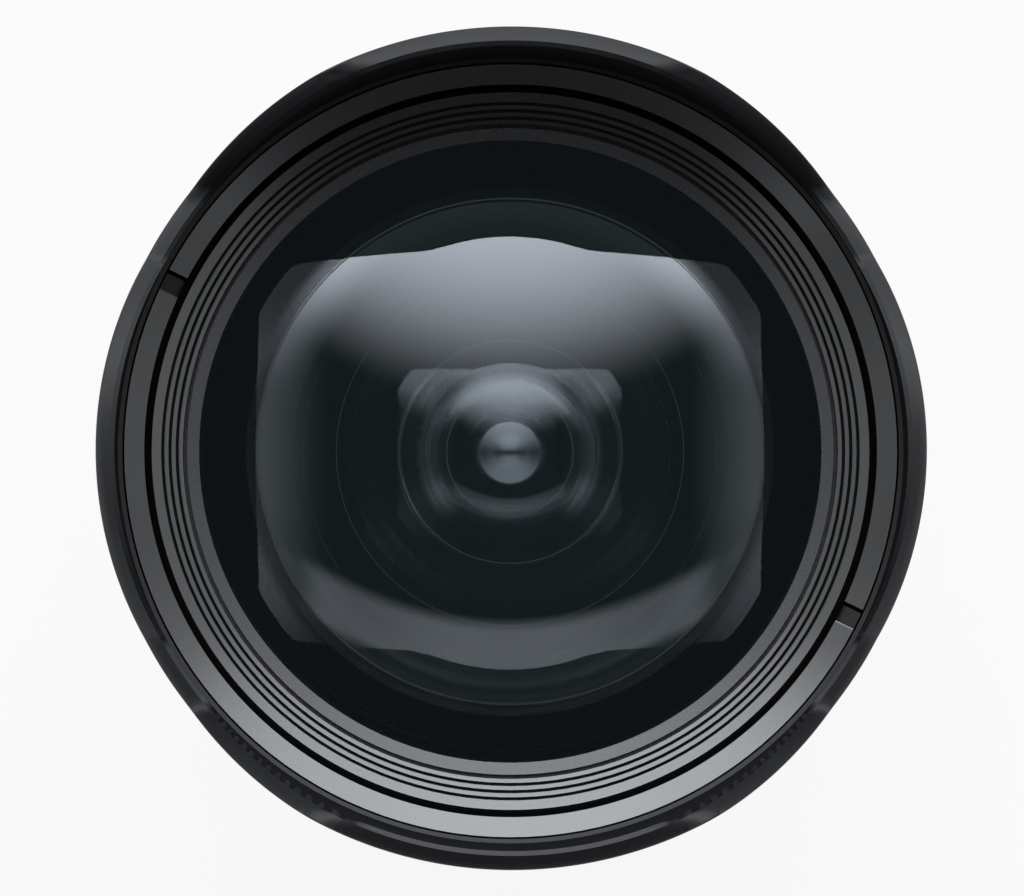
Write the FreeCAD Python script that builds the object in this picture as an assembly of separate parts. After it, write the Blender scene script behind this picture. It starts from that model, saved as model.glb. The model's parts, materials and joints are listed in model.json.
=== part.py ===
"""Wide-angle zoom lens with its petal hood fitted, in millimetres.

The origin is the centre of the camera flange face. +Z runs along the optical axis to the front
and +Y is up. At rest the zoom is at its wide end, the focus at infinity and the iris open.
"""

import FreeCAD, Part
import math
import os

from FreeCAD import Vector

# Fits and clearances
SEAT_FIT = 0.03
RUNNING_FIT = 0.10
ROLLER_FIT = 0.10
RING_GAP = 0.4
FREE_GAP = 0.6
CUT_MARGIN = 1.0

# Camera bayonet
FLANGE_THICKNESS = 2.0
FLANGE_RADIUS = 31.0
REGISTER_RADIUS = 24.0
REGISTER_LENGTH = 1.6
SPIGOT_LENGTH = 7.0
SPIGOT_WALL = 1.4
SPIGOT_STEP = 1.1
TAB_THICKNESS = 1.8
TAB_GROOVE = 1.8
TAB_COUNT = 3
TAB_ANGLE = 56.0
TAB_FIRST_ANGLE = 30.0
BAYONET_LIP = 0.6
SEAL_WIDTH = 1.6
SEAL_PROUD = 0.4
MOUNT_SCREW_COUNT = 4
MOUNT_SCREW_CIRCLE = 27.6
MOUNT_SCREW_ANGLE = 45.0
SCREW_HEAD_RADIUS = 1.6
SCREW_HEAD_HEIGHT = 1.0
SCREW_SHANK_RADIUS = 0.95
SCREW_SINK = 0.1
LOCK_HOLE_RADIUS = 1.6
LOCK_HOLE_ANGLE = 200.0

# Electrical contacts at the camera end
CONTACT_COUNT = 10
CONTACT_RADIUS = 0.5
CONTACT_PROUD = 0.6
CONTACT_DEPTH = 1.2
CONTACT_SPACING = 6.8
CONTACT_BLOCK_WIDTH = 2.0
CONTACT_BLOCK_LENGTH = 5.0
CONTACT_CENTRE_ANGLE = 90.0
BAFFLE_THICKNESS = 1.0
BAFFLE_WINDOW_X = 30.0
BAFFLE_WINDOW_Y = 21.0

# Outer barrel, from the camera to the front
REAR_BARREL_LENGTH = 32.0
REAR_FLARE_LENGTH = 14.0
REAR_END_RADIUS = 33.0
REAR_WALL = 1.8
REAR_END_WALL = 2.5
REAR_SHELL_WALL = 2.3
ZOOM_RING_LENGTH = 28.0
MID_BARREL_LENGTH = 15.0
FOCUS_RING_LENGTH = 22.4
SHOULDER_LENGTH = 6.0
NOSE_LENGTH = 16.0

# Front bezel with the filter thread, M82 x 0.75
THREAD_RADIUS = 41.0
THREAD_DEPTH = 0.4
THREAD_LENGTH = 3.0
THREAD_LEAD = 0.8
THREAD_RELIEF = 0.6
BEZEL_FLANGE = 2.0
BEZEL_DEPTH = 5.4
BEZEL_WIDTH = 2.24
BEZEL_SKIRT_WALL = 1.2
SPANNER_SLOT_WIDTH = 2.5
SPANNER_SLOT_DEPTH = 0.6
SPANNER_SLOT_ANGLES = (153.7, 334.0)

# Radial build-up inside the thread
GROUP_GAP = 0.24
SLEEVE_STEP = 2.4
SLEEVE_WALL = 1.6
CAM_SPACE = 0.6
CAM_WALL = 1.5
GUIDE_WALL = 1.4
FOCUS_SLEEVE_WALL = 1.3
FOCUS_RING_WALL = 1.1
FOCUS_GRIP_WALL = 0.3
RIB_FLANK_SHARE = 0.30
RIB_TOP_SHARE = 0.42
RIB_TOP_END_SHARE = 0.88
FOCUS_RIB_HEIGHT = 0.55
FOCUS_RIB_COUNT = 96
FOCUS_GRIP_MARGIN = 2.0
ZOOM_RING_WALL = 2.9
ZOOM_GRIP_WALL = 0.4
ZOOM_RIB_HEIGHT = 0.8
ZOOM_RIB_COUNT = 72
ZOOM_SCALE_WIDTH = 6.0
ZOOM_GRIP_MARGIN = 1.0
MID_BARREL_WALL = 1.5
MID_BARREL_DEPTH = 3.7
MID_END_WALL = 1.8
SHOULDER_STEP = 0.76

# Zoom mechanism: turning the ring by ZOOM_TURN moves both groups along the axis
ZOOM_TURN = 75.0
FRONT_GROUP_TRAVEL = 9.0
VARIATOR_TRAVEL = 14.0
ROLLER_RADIUS = 2.0
ROLLER_STUD_RADIUS = 1.2
ROLLER_COUNT = 3
FRONT_ROLLER_ANGLE = 90.0
VARIATOR_ROLLER_ANGLE = 30.0
KEY_RADIUS = 1.6
KEY_WINDOW_GAP = 0.3
KEY_WINDOW_END_ANGLE = 0.5
KEY_INSET = 3.9
ZOOM_LAND_LENGTH = 7.4
CAM_RING_LENGTH = 1.5

# Frame flanges at the camera end
ELECTRONICS_BAY = 12.0
FRAME_FLANGE = 2.0
GUIDE_FLANGE = 1.5
FRAME_BORE_RADIUS = 31.0
FRAME_SCREW_COUNT = 4
FRAME_SCREW_ANGLE = 15.0
FRAME_SCREW_CIRCLE_GAP = 0.4
BOARD_THICKNESS = 1.0
BOARD_SETBACK = 1.0
BOARD_LEDGE = 1.1
CABLE_THICKNESS = 0.2
CABLE_ANGLE = 16.0
CABLE_SIDE_ANGLE = 2.0
CABLE_FOOT_LENGTH = 3.0

# Front group
GROUP_SETBACK = 1.2
GROUP_RIM_WIDTH = 1.06
BAFFLE_STEP_COUNT = 3
BAFFLE_STEP_WIDTH = 0.78
BAFFLE_GROOVE_WIDTH = 0.34
BAFFLE_GROOVE_DEPTH = 0.5
RETAINER_OVERLAP = 1.2
RETAINER_THICKNESS = 1.1
RETAINER_FLANGE = 0.45
RETAINER_RELIEF = 0.42
FACE_SLOPE = 0.32
DOME_CLEARANCE = 0.4
GROUP_FLOOR = 1.6
CELL_WALL = 1.2
CELL_LEDGE = 1.2
SKIRT_LENGTH = 30.0
SKIRT_WALL = 1.5
SKIRT_ROLLER_INSET = 4.0
GLASS_LAND = 0.2

# Glass: centre thickness, surface radii (plus bulges forward), rim radii and clear radii
FRONT_GLASS_RADIUS = 107.0
FRONT_GLASS_THICKNESS = 2.6
FRONT_GLASS_REAR_RADIUS = 41.5
FRONT_GLASS_REAR_CLEAR = 28.7
GLASS_2_GAP = 7.7
GLASS_2_RIM = 26.0
GLASS_2_RADIUS = 60.0
GLASS_2_THICKNESS = 2.0
GLASS_2_REAR_RADIUS = 24.0
GLASS_2_REAR_CLEAR = 19.7
GLASS_3_GAP = 12.5
GLASS_3_RIM = 18.6
GLASS_3_RADIUS = 100.0
GLASS_3_THICKNESS = 1.6
GLASS_3_REAR_RADIUS = 46.0
GLASS_3_REAR_CLEAR = 16.2
GLASS_4_GAP = 0.7
GLASS_4_RIM = 16.6
GLASS_4_RADIUS = 52.0
GLASS_4_THICKNESS = 5.0
GLASS_4_REAR_RADIUS = 90.0
INNER_RETAINER_LENGTH = 1.0

# Variator
VARIATOR_GAP = 1.0
VARIATOR_RIM_LENGTH = 7.5
VARIATOR_RIM_WALL = 3.2
VARIATOR_WEB = 1.5
VARIATOR_CELL_LENGTH = 17.0
VARIATOR_CELL_WALL = 1.6
VARIATOR_FLANGE = 1.5
GLASS_5_RIM = 15.6
GLASS_5_RADIUS = 34.0
GLASS_5_THICKNESS = 7.0
GLASS_5_REAR_RADIUS = 80.0
GLASS_5_SETBACK = 0.5
GLASS_6_RADIUS = 46.0
GLASS_6_THICKNESS = 3.0
GLASS_6_REAR_RADIUS = 30.0
GLASS_6_REAR_CLEAR = 12.5
GLASS_6_SETBACK = 1.2

# Iris
IRIS_OPEN_RADIUS = 13.0
IRIS_BLADE_COUNT = 9
IRIS_BLADE_INSET = 0.2
IRIS_BLADE_WIDTH = 2.6
IRIS_BLADE_SPAN = 95.0
IRIS_BLADE_THICKNESS = 0.12
IRIS_BLADE_PITCH = 0.2
IRIS_BLADE_SWING = 39.0
IRIS_PIVOT_OFFSET = 4.2
IRIS_PIN_RADIUS = 0.5
IRIS_PIN_FIT = 0.12
IRIS_PIN_FLOOR = 0.2
IRIS_PIN_END_GAP = 0.1
IRIS_EAR_RADIUS = 1.1
IRIS_ROOT_ANGLE = 4.4
IRIS_DRIVE_ANGLE = -14.0
IRIS_RING_TURN = 30.0
IRIS_RING_THICKNESS = 0.8
IRIS_BASE_THICKNESS = 1.2
IRIS_RIM_WALL = 0.8
IRIS_COVER_THICKNESS = 0.6
IRIS_MOTOR_RADIUS = 3.2
IRIS_MOTOR_LENGTH = 7.0
IRIS_MOTOR_ANGLE = 200.0

# Focus unit
FOCUS_TRAVEL = 5.0
FOCUS_START_GAP = 1.5
FOCUS_CARRIAGE_LENGTH = 6.5
FOCUS_CARRIAGE_WALL = 3.5
FOCUS_GLASS_RIM = 14.5
FOCUS_GLASS_RADIUS = 70.0
FOCUS_GLASS_THICKNESS = 2.4
FOCUS_GLASS_REAR_RADIUS = 32.0
FOCUS_GLASS_REAR_CLEAR = 12.0
FOCUS_END_GAP = 1.0
FOCUS_PLATE_THICKNESS = 1.2
FOCUS_PLATE_BORE = 20.0
ROD_INSET = 7.0
ROD_RADIUS = 1.0
ROD_BOSS_RADIUS = 2.4
ROD_ANGLES = (90.0, 270.0)
SCREW_ROD_RADIUS = 1.2
NUT_BOSS_RADIUS = 3.0
FOCUS_MOTOR_RADIUS = 4.0
FOCUS_MOTOR_LENGTH = 9.5

# Rear group
REAR_CELL_RADIUS = 19.4
REAR_CELL_FLANGE = 1.5
REAR_CELL_GAP = 0.2
GLASS_7_RIM = 17.6
GLASS_7_RADIUS = 40.0
GLASS_7_THICKNESS = 6.6
GLASS_7_REAR_RADIUS = 70.0
GLASS_7_SETBACK = 0.6
GLASS_8_RIM = 17.0
GLASS_8_RADIUS = 60.0
GLASS_8_THICKNESS = 2.4
GLASS_8_REAR_RADIUS = 120.0
GLASS_8_SETBACK = 1.0

# Focus mode switch and focus hold button on the middle barrel
SWITCH_TRAVEL = 3.0
SWITCH_KNOB_LENGTH = 4.6
SWITCH_KNOB_WIDTH = 4.4
SWITCH_PROUD = 1.0
SWITCH_GAP = 0.3
SWITCH_PLATE = 0.9
SWITCH_PLATE_MARGIN = 0.8
BUTTON_RADIUS = 4.0
BUTTON_PROUD = 0.8
BUTTON_FLANGE = 0.8
BUTTON_FLANGE_THICKNESS = 0.7
BUTTON_ANGLE = 35.0
BUTTON_GAP = 0.25
BUTTON_TRAVEL = 0.6

# Hood
HOOD_COLLAR_GAP = 0.21
HOOD_WALL = 2.1
HOOD_COLLAR_WALL = 2.4
HOOD_LIP_HEIGHT = 0.5
HOOD_REAR_GAP = 0.4
HOOD_TIP_HEIGHT = 30.0
HOOD_SIDE_HEIGHT = 15.5
HOOD_NOTCH_HEIGHT = 6.0
HOOD_TOP_TIP_ANGLE = 26.75
HOOD_BOTTOM_TIP_ANGLE = 29.0
HOOD_FLANK_ANGLE = 38.75
HOOD_SIDE_ANGLE = 27.5
HOOD_CORNER_RADIUS = 2.0
HOOD_BEVEL = 0.7
HOOD_LUG_COUNT = 3
HOOD_LUG_ANGLE = 18.0
HOOD_LUG_SIDE_ANGLE = 1.5
HOOD_LUG_HEIGHT = 1.1
HOOD_LUG_LENGTH = 2.0
HOOD_LUG_INSET = 2.0
HOOD_LUG_GAP = 0.3
HOOD_TURN = 60.0

# Axial places of the outer barrel
REAR_BARREL_Z = FLANGE_THICKNESS
REAR_BARREL_END_Z = REAR_BARREL_Z + REAR_BARREL_LENGTH
ZOOM_RING_Z = REAR_BARREL_END_Z + RING_GAP
ZOOM_RING_END_Z = ZOOM_RING_Z + ZOOM_RING_LENGTH
MID_BARREL_Z = ZOOM_RING_END_Z + RING_GAP
MID_BARREL_END_Z = MID_BARREL_Z + MID_BARREL_LENGTH
FOCUS_RING_Z = MID_BARREL_END_Z + RING_GAP
FOCUS_RING_END_Z = FOCUS_RING_Z + FOCUS_RING_LENGTH
SHOULDER_Z = FOCUS_RING_END_Z + RING_GAP
NOSE_Z = SHOULDER_Z + SHOULDER_LENGTH
FRONT_Z = NOSE_Z + NOSE_LENGTH

# Radial places, from the filter thread inwards and outwards
THREAD_BORE = THREAD_RADIUS - THREAD_DEPTH
NOSE_RADIUS = THREAD_RADIUS + BEZEL_WIDTH
BEZEL_SKIRT_RADIUS = THREAD_RADIUS + BEZEL_SKIRT_WALL
SHOULDER_RADIUS = NOSE_RADIUS + SHOULDER_STEP
GROUP_RADIUS = THREAD_BORE - GROUP_GAP
SLEEVE_RADIUS = THREAD_BORE - SLEEVE_STEP
SLEEVE_BORE = SLEEVE_RADIUS - SLEEVE_WALL
CAM_RADIUS = SLEEVE_BORE - CAM_SPACE
CAM_BORE = CAM_RADIUS - CAM_WALL
GUIDE_RADIUS = CAM_BORE - RUNNING_FIT
GUIDE_BORE = GUIDE_RADIUS - GUIDE_WALL
SLIDE_RADIUS = GUIDE_BORE - RUNNING_FIT
SKIRT_BORE = SLIDE_RADIUS - SKIRT_WALL
FOCUS_SLEEVE_RADIUS = THREAD_BORE + FOCUS_SLEEVE_WALL
FOCUS_RING_BORE = FOCUS_SLEEVE_RADIUS + RUNNING_FIT
FOCUS_RING_RADIUS = FOCUS_RING_BORE + FOCUS_RING_WALL
ZOOM_RING_BORE = SLEEVE_RADIUS + RUNNING_FIT
ZOOM_RING_RADIUS = ZOOM_RING_BORE + ZOOM_RING_WALL
REAR_BARREL_RADIUS = SLEEVE_RADIUS + REAR_SHELL_WALL
MID_BARREL_RADIUS = SLEEVE_RADIUS + MID_BARREL_DEPTH
SPIGOT_NECK = REGISTER_RADIUS - SPIGOT_STEP
SPIGOT_BORE = SPIGOT_NECK - SPIGOT_WALL

# Axial places of the frame, from the camera end
FRAME_Z = REAR_BARREL_Z + ELECTRONICS_BAY
SLEEVE_Z = FRAME_Z + FRAME_FLANGE
GUIDE_Z = SLEEVE_Z + FRAME_FLANGE
GUIDE_FLOOR_Z = GUIDE_Z + GUIDE_FLANGE
BOARD_Z = REAR_BARREL_Z + REAR_END_WALL + BOARD_SETBACK
FRAME_SCREW_CIRCLE = FRAME_BORE_RADIUS + SCREW_HEAD_RADIUS + FRAME_SCREW_CIRCLE_GAP

# Axial places of the front group, from the filter thread backwards
THREAD_Z = FRONT_Z - THREAD_LEAD - THREAD_LENGTH
GROUP_FRONT_Z = THREAD_Z - GROUP_SETBACK
DOME_Z = THREAD_Z - DOME_CLEARANCE
BAFFLE_RADIUS = GROUP_RADIUS - GROUP_RIM_WIDTH
RETAINER_RADIUS = BAFFLE_RADIUS - BAFFLE_STEP_COUNT * BAFFLE_STEP_WIDTH
FRONT_GLASS_RIM = RETAINER_RADIUS - RETAINER_OVERLAP / 2
FRONT_GLASS_CLEAR = FRONT_GLASS_RIM - RETAINER_OVERLAP


def surface_height(vertex_z, radius, distance):
    """Height of a glass surface at a distance from the axis; a plus radius bulges forward."""
    sagitta = abs(radius) - math.sqrt(radius * radius - distance * distance)
    if radius > 0:
        return vertex_z - sagitta
    return vertex_z + sagitta


FRONT_SEAT_Z = surface_height(DOME_Z, FRONT_GLASS_RADIUS, FRONT_GLASS_CLEAR + GLASS_LAND)
FRONT_GLASS_REAR_Z = DOME_Z - FRONT_GLASS_THICKNESS
FRONT_FLOOR_Z = surface_height(FRONT_GLASS_REAR_Z, FRONT_GLASS_REAR_RADIUS, FRONT_GLASS_REAR_CLEAR)
GROUP_FLOOR_Z = FRONT_FLOOR_Z - GROUP_FLOOR
GLASS_2_Z = FRONT_GLASS_REAR_Z - GLASS_2_GAP
GLASS_2_REAR_Z = GLASS_2_Z - GLASS_2_THICKNESS
GLASS_2_SEAT_Z = surface_height(GLASS_2_REAR_Z, GLASS_2_REAR_RADIUS, GLASS_2_REAR_CLEAR)
GLASS_3_Z = GLASS_2_REAR_Z - GLASS_3_GAP
GLASS_3_REAR_Z = GLASS_3_Z - GLASS_3_THICKNESS
GLASS_3_SEAT_Z = surface_height(GLASS_3_REAR_Z, GLASS_3_REAR_RADIUS, GLASS_3_REAR_CLEAR)
GLASS_4_Z = GLASS_3_REAR_Z - GLASS_4_GAP
GLASS_4_REAR_Z = GLASS_4_Z - GLASS_4_THICKNESS
GLASS_4_EDGE_Z = surface_height(GLASS_4_REAR_Z, -GLASS_4_REAR_RADIUS, GLASS_4_RIM - CELL_LEDGE)
SKIRT_END_Z = GROUP_FLOOR_Z - SKIRT_LENGTH
FRONT_ROLLER_Z = SKIRT_END_Z + SKIRT_ROLLER_INSET
GUIDE_END_Z = GROUP_FLOOR_Z - FRONT_GROUP_TRAVEL - FREE_GAP
CAM_RING_Z = GUIDE_END_Z - CAM_RING_LENGTH
CAM_Z = GUIDE_Z + RING_GAP
CAM_END_Z = CAM_RING_Z - RING_GAP
FRONT_FLANGE_Z = GUIDE_END_Z - CAM_RING_LENGTH - FRAME_FLANGE / 2
SLEEVE_END_Z = FRONT_FLANGE_Z + FRAME_FLANGE
KEY_Z = ZOOM_RING_END_Z - KEY_INSET

# Axial places of the focus unit and the variator, from the frame forwards
ROD_CIRCLE = GUIDE_BORE - ROD_INSET
FOCUS_Z = GUIDE_FLOOR_Z + FOCUS_START_GAP
FOCUS_PLATE_Z = FOCUS_Z + FOCUS_CARRIAGE_LENGTH + FOCUS_TRAVEL + FOCUS_END_GAP
VARIATOR_Z = FOCUS_PLATE_Z + FOCUS_PLATE_THICKNESS + VARIATOR_GAP
VARIATOR_ROLLER_Z = VARIATOR_Z + VARIATOR_RIM_LENGTH / 2
VARIATOR_CELL_END_Z = VARIATOR_Z + VARIATOR_CELL_LENGTH
VARIATOR_FLANGE_RADIUS = SKIRT_BORE - FREE_GAP

# Iris, stacked on the front of the variator
IRIS_Z = VARIATOR_CELL_END_Z
IRIS_BLADE_Z = IRIS_Z + IRIS_BASE_THICKNESS + IRIS_BLADE_PITCH
IRIS_RING_Z = IRIS_BLADE_Z + IRIS_BLADE_COUNT * IRIS_BLADE_PITCH + IRIS_BLADE_PITCH
IRIS_COVER_Z = IRIS_RING_Z + IRIS_RING_THICKNESS + IRIS_BLADE_PITCH
IRIS_BLADE_IN = IRIS_OPEN_RADIUS + IRIS_BLADE_INSET
IRIS_BLADE_OUT = IRIS_BLADE_IN + IRIS_BLADE_WIDTH
IRIS_PIVOT_RADIUS = IRIS_OPEN_RADIUS + IRIS_PIVOT_OFFSET
IRIS_RING_BORE = IRIS_BLADE_IN + IRIS_BLADE_INSET


def polar(radius, angle, height=0.0):
    """Point at a radius and an angle in degrees about the optical axis."""
    turn = math.radians(angle)
    return Vector(radius * math.cos(turn), radius * math.sin(turn), height)


def drive_pin_place(swing):
    """Place of a blade's drive pin after the blade has swung about its pivot."""
    pivot = polar(IRIS_PIVOT_RADIUS, 0)
    arm = polar(IRIS_PIVOT_RADIUS, IRIS_DRIVE_ANGLE) - pivot
    turn = math.radians(swing)
    turned_x = arm.x * math.cos(turn) - arm.y * math.sin(turn)
    turned_y = arm.x * math.sin(turn) + arm.y * math.cos(turn)
    return pivot + Vector(turned_x, turned_y, 0)


IRIS_RING_RADIUS = drive_pin_place(IRIS_BLADE_SWING).Length + IRIS_EAR_RADIUS + RUNNING_FIT
IRIS_RIM_BORE = IRIS_RING_RADIUS + RUNNING_FIT
IRIS_RADIUS = IRIS_RIM_BORE + IRIS_RIM_WALL

# Hood places
HOOD_Z = NOSE_Z + HOOD_REAR_GAP
HOOD_COLLAR_BORE = NOSE_RADIUS + HOOD_COLLAR_GAP
HOOD_RADIUS = HOOD_COLLAR_BORE + HOOD_COLLAR_WALL
HOOD_BORE_RADIUS = HOOD_RADIUS - HOOD_WALL
HOOD_LUG_RADIUS = NOSE_RADIUS + HOOD_LUG_HEIGHT
HOOD_LUG_Z = HOOD_Z + HOOD_LUG_INSET
HOOD_TIP_Z = FRONT_Z + HOOD_TIP_HEIGHT

X_AXIS = Vector(1, 0, 0)
Y_AXIS = Vector(0, 1, 0)
Z_AXIS = Vector(0, 0, 1)
ORIGIN = Vector(0, 0, 0)


def cylinder(radius, bottom, top, x=0.0, y=0.0):
    """Upright cylinder between two heights."""
    return Part.makeCylinder(radius, top - bottom, Vector(x, y, bottom))


def upright_at(radius, circle, angle, bottom, top):
    """Upright cylinder whose axis stands on a circle about the optical axis."""
    centre = polar(circle, angle)
    return cylinder(radius, bottom, top, centre.x, centre.y)


def tube(outer, inner, bottom, top):
    """Plain ring or tube about the optical axis."""
    return cylinder(outer, bottom, top).cut(cylinder(inner, bottom, top))


def turned(points, sweep=360.0):
    """Solid turned about the optical axis from a closed outline of radius and height."""
    corners = [Vector(radius, 0, height) for radius, height in points]
    outline = Part.makePolygon(corners + corners[:1])
    return Part.Face(outline).revolve(ORIGIN, Z_AXIS, sweep)


def sector(inner, outer, bottom, top, middle, width):
    """Part of a ring, centred on an angle."""
    shape = turned([(inner, bottom), (outer, bottom), (outer, top), (inner, top)], width)
    shape.rotate(ORIGIN, Z_AXIS, middle - width / 2)
    return shape


def radial_pin(radius, inner, outer, angle, height):
    """Cylinder that points straight out from the optical axis."""
    return Part.makeCylinder(radius, outer - inner, polar(inner, angle, height), polar(1, angle))


def turned_copies(shape, count, first=0.0):
    """Copies of a shape, evenly spaced about the optical axis."""
    copies = []
    for index in range(count):
        copy = shape.copy()
        copy.rotate(ORIGIN, Z_AXIS, first + index * 360.0 / count)
        copies.append(copy)
    return copies


def roller_angles(first):
    """Angles of the three rollers that carry one group."""
    return [first + index * 360.0 / ROLLER_COUNT for index in range(ROLLER_COUNT)]


def export(name, shape):
    """Write one node. A list of separate solids becomes one compound."""
    if isinstance(shape, list):
        shape = Part.makeCompound(shape)
    shape.exportStep("parts/" + name + ".step")


def glass(rim, front, front_clear, rear, rear_clear):
    """Lens element with flat seats round its two surfaces.

    front and rear are pairs of vertex height and surface radius; a plus radius bulges forward.
    """
    front_z, front_radius = front
    rear_z, rear_radius = rear
    front_edge = surface_height(front_z, front_radius, front_clear)
    rear_edge = surface_height(rear_z, rear_radius, rear_clear)
    front_mid = surface_height(front_z, front_radius, front_clear / 2)
    rear_mid = surface_height(rear_z, rear_radius, rear_clear / 2)
    front_arc = Part.Arc(
        Vector(0, 0, front_z), Vector(front_clear / 2, 0, front_mid), Vector(front_clear, 0, front_edge)
    )
    rear_arc = Part.Arc(
        Vector(rear_clear, 0, rear_edge), Vector(rear_clear / 2, 0, rear_mid), Vector(0, 0, rear_z)
    )
    rim_path = Part.makePolygon([
        Vector(front_clear, 0, front_edge),
        Vector(rim, 0, front_edge),
        Vector(rim, 0, rear_edge),
        Vector(rear_clear, 0, rear_edge),
    ])
    axis_line = Part.makeLine(Vector(0, 0, rear_z), Vector(0, 0, front_z))
    outline = Part.Wire([front_arc.toShape()] + rim_path.Edges + [rear_arc.toShape(), axis_line])
    return Part.Face(outline).revolve(ORIGIN, Z_AXIS, 360)


def slot_outline(radius, count, height):
    """Closed outline of a ribbed grip: flat-topped ribs with sloping flanks."""
    pitch = 360.0 / count
    corners = []
    for index in range(count):
        start = index * pitch
        corners.append(polar(radius, start))
        corners.append(polar(radius, start + RIB_FLANK_SHARE * pitch))
        corners.append(polar(radius + height, start + RIB_TOP_SHARE * pitch))
        corners.append(polar(radius + height, start + RIB_TOP_END_SHARE * pitch))
    return Part.makePolygon(corners + corners[:1])


def ribbed_grip(bore, wall, rib_height, rib_count, bottom, top):
    """Rubber sleeve with lengthwise ribs."""
    outline = slot_outline(bore + wall, rib_count, rib_height)
    outline.translate(Vector(0, 0, bottom))
    ribbed = Part.Face(outline).extrude(Vector(0, 0, top - bottom))
    return ribbed.cut(cylinder(bore, bottom, top))


def mount_bayonet():
    """Camera bayonet: flange plate, register and three tabs behind a groove."""
    tab_front = -REGISTER_LENGTH - TAB_GROOVE
    tab_rear = tab_front - TAB_THICKNESS
    lip_bore = SPIGOT_BORE - BAYONET_LIP
    body = turned([
        (SPIGOT_BORE, -SPIGOT_LENGTH),
        (SPIGOT_NECK, -SPIGOT_LENGTH),
        (SPIGOT_NECK, -REGISTER_LENGTH),
        (REGISTER_RADIUS, -REGISTER_LENGTH),
        (REGISTER_RADIUS, 0),
        (FLANGE_RADIUS, 0),
        (FLANGE_RADIUS, FLANGE_THICKNESS),
        (lip_bore, FLANGE_THICKNESS),
        (lip_bore, BAFFLE_THICKNESS),
        (SPIGOT_BORE, BAFFLE_THICKNESS),
    ])
    tab_inner = SPIGOT_NECK - SPIGOT_WALL / 2
    tab = sector(tab_inner, REGISTER_RADIUS - RUNNING_FIT, tab_rear, tab_front, 0, TAB_ANGLE)
    for copy in turned_copies(tab, TAB_COUNT, TAB_FIRST_ANGLE):
        body = body.fuse(copy)
    head = upright_at(SCREW_HEAD_RADIUS + SEAT_FIT, MOUNT_SCREW_CIRCLE, 0, 0, SCREW_SINK + SCREW_HEAD_HEIGHT)
    shank = upright_at(SCREW_SHANK_RADIUS + SEAT_FIT, MOUNT_SCREW_CIRCLE, 0, 0, FLANGE_THICKNESS)
    for copy in turned_copies(head.fuse(shank), MOUNT_SCREW_COUNT, MOUNT_SCREW_ANGLE):
        body = body.cut(copy)
    lock_hole = upright_at(LOCK_HOLE_RADIUS, MOUNT_SCREW_CIRCLE, LOCK_HOLE_ANGLE, 0, FLANGE_THICKNESS)
    return body.cut(lock_hole)


def mount_screws():
    """Screws that hold the bayonet to the rear barrel."""
    neck = SCREW_SINK + SCREW_HEAD_HEIGHT
    tip = REAR_BARREL_Z + REAR_END_WALL - SEAT_FIT
    head = upright_at(SCREW_HEAD_RADIUS, MOUNT_SCREW_CIRCLE, 0, SCREW_SINK, neck)
    shank = upright_at(SCREW_SHANK_RADIUS, MOUNT_SCREW_CIRCLE, 0, neck, tip)
    return turned_copies(head.fuse(shank), MOUNT_SCREW_COUNT, MOUNT_SCREW_ANGLE)


def mount_seal():
    """Rubber dust seal round the flange."""
    bore = FLANGE_RADIUS + SEAT_FIT
    return turned([
        (bore, 0),
        (bore + SEAL_WIDTH / 2, -SEAL_PROUD),
        (bore + SEAL_WIDTH, -SEAL_PROUD),
        (bore + SEAL_WIDTH, FLANGE_THICKNESS),
        (bore, FLANGE_THICKNESS),
    ])


def contact_angles():
    """Angles of the contact pins, centred on the block."""
    first = CONTACT_CENTRE_ANGLE - CONTACT_SPACING * (CONTACT_COUNT - 1) / 2
    return [first + index * CONTACT_SPACING for index in range(CONTACT_COUNT)]


def contact_holes(radius):
    """One upright cylinder per contact, from inside the block to past its end."""
    circle = SPIGOT_BORE - SEAT_FIT - CONTACT_BLOCK_WIDTH / 2
    top = CONTACT_DEPTH - CONTACT_BLOCK_LENGTH
    bottom = -CONTACT_PROUD - CONTACT_BLOCK_LENGTH
    return [upright_at(radius, circle, angle, bottom, top) for angle in contact_angles()]


def contact_block():
    """Moulded block that carries the contacts inside the bayonet."""
    outer = SPIGOT_BORE - SEAT_FIT
    inner = outer - CONTACT_BLOCK_WIDTH
    width = CONTACT_SPACING * (CONTACT_COUNT + 1)
    block = sector(inner, outer, -CONTACT_BLOCK_LENGTH, 0, CONTACT_CENTRE_ANGLE, width)
    for hole in contact_holes(CONTACT_RADIUS + SEAT_FIT):
        block = block.cut(hole)
    return block


def rear_baffle():
    """Disc with a rectangular window that masks stray light at the camera end."""
    disc = cylinder(SPIGOT_BORE - SEAT_FIT, 0, BAFFLE_THICKNESS)
    window = Part.makeBox(
        BAFFLE_WINDOW_X,
        BAFFLE_WINDOW_Y,
        BAFFLE_THICKNESS,
        Vector(-BAFFLE_WINDOW_X / 2, -BAFFLE_WINDOW_Y / 2, 0),
    )
    cable_inner = REAR_CELL_RADIUS + FREE_GAP
    notch_width = CABLE_ANGLE + 2 * CABLE_SIDE_ANGLE
    notch = sector(cable_inner, SPIGOT_BORE, 0, BAFFLE_THICKNESS, CONTACT_CENTRE_ANGLE, notch_width)
    return disc.cut(window).cut(notch)


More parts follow.
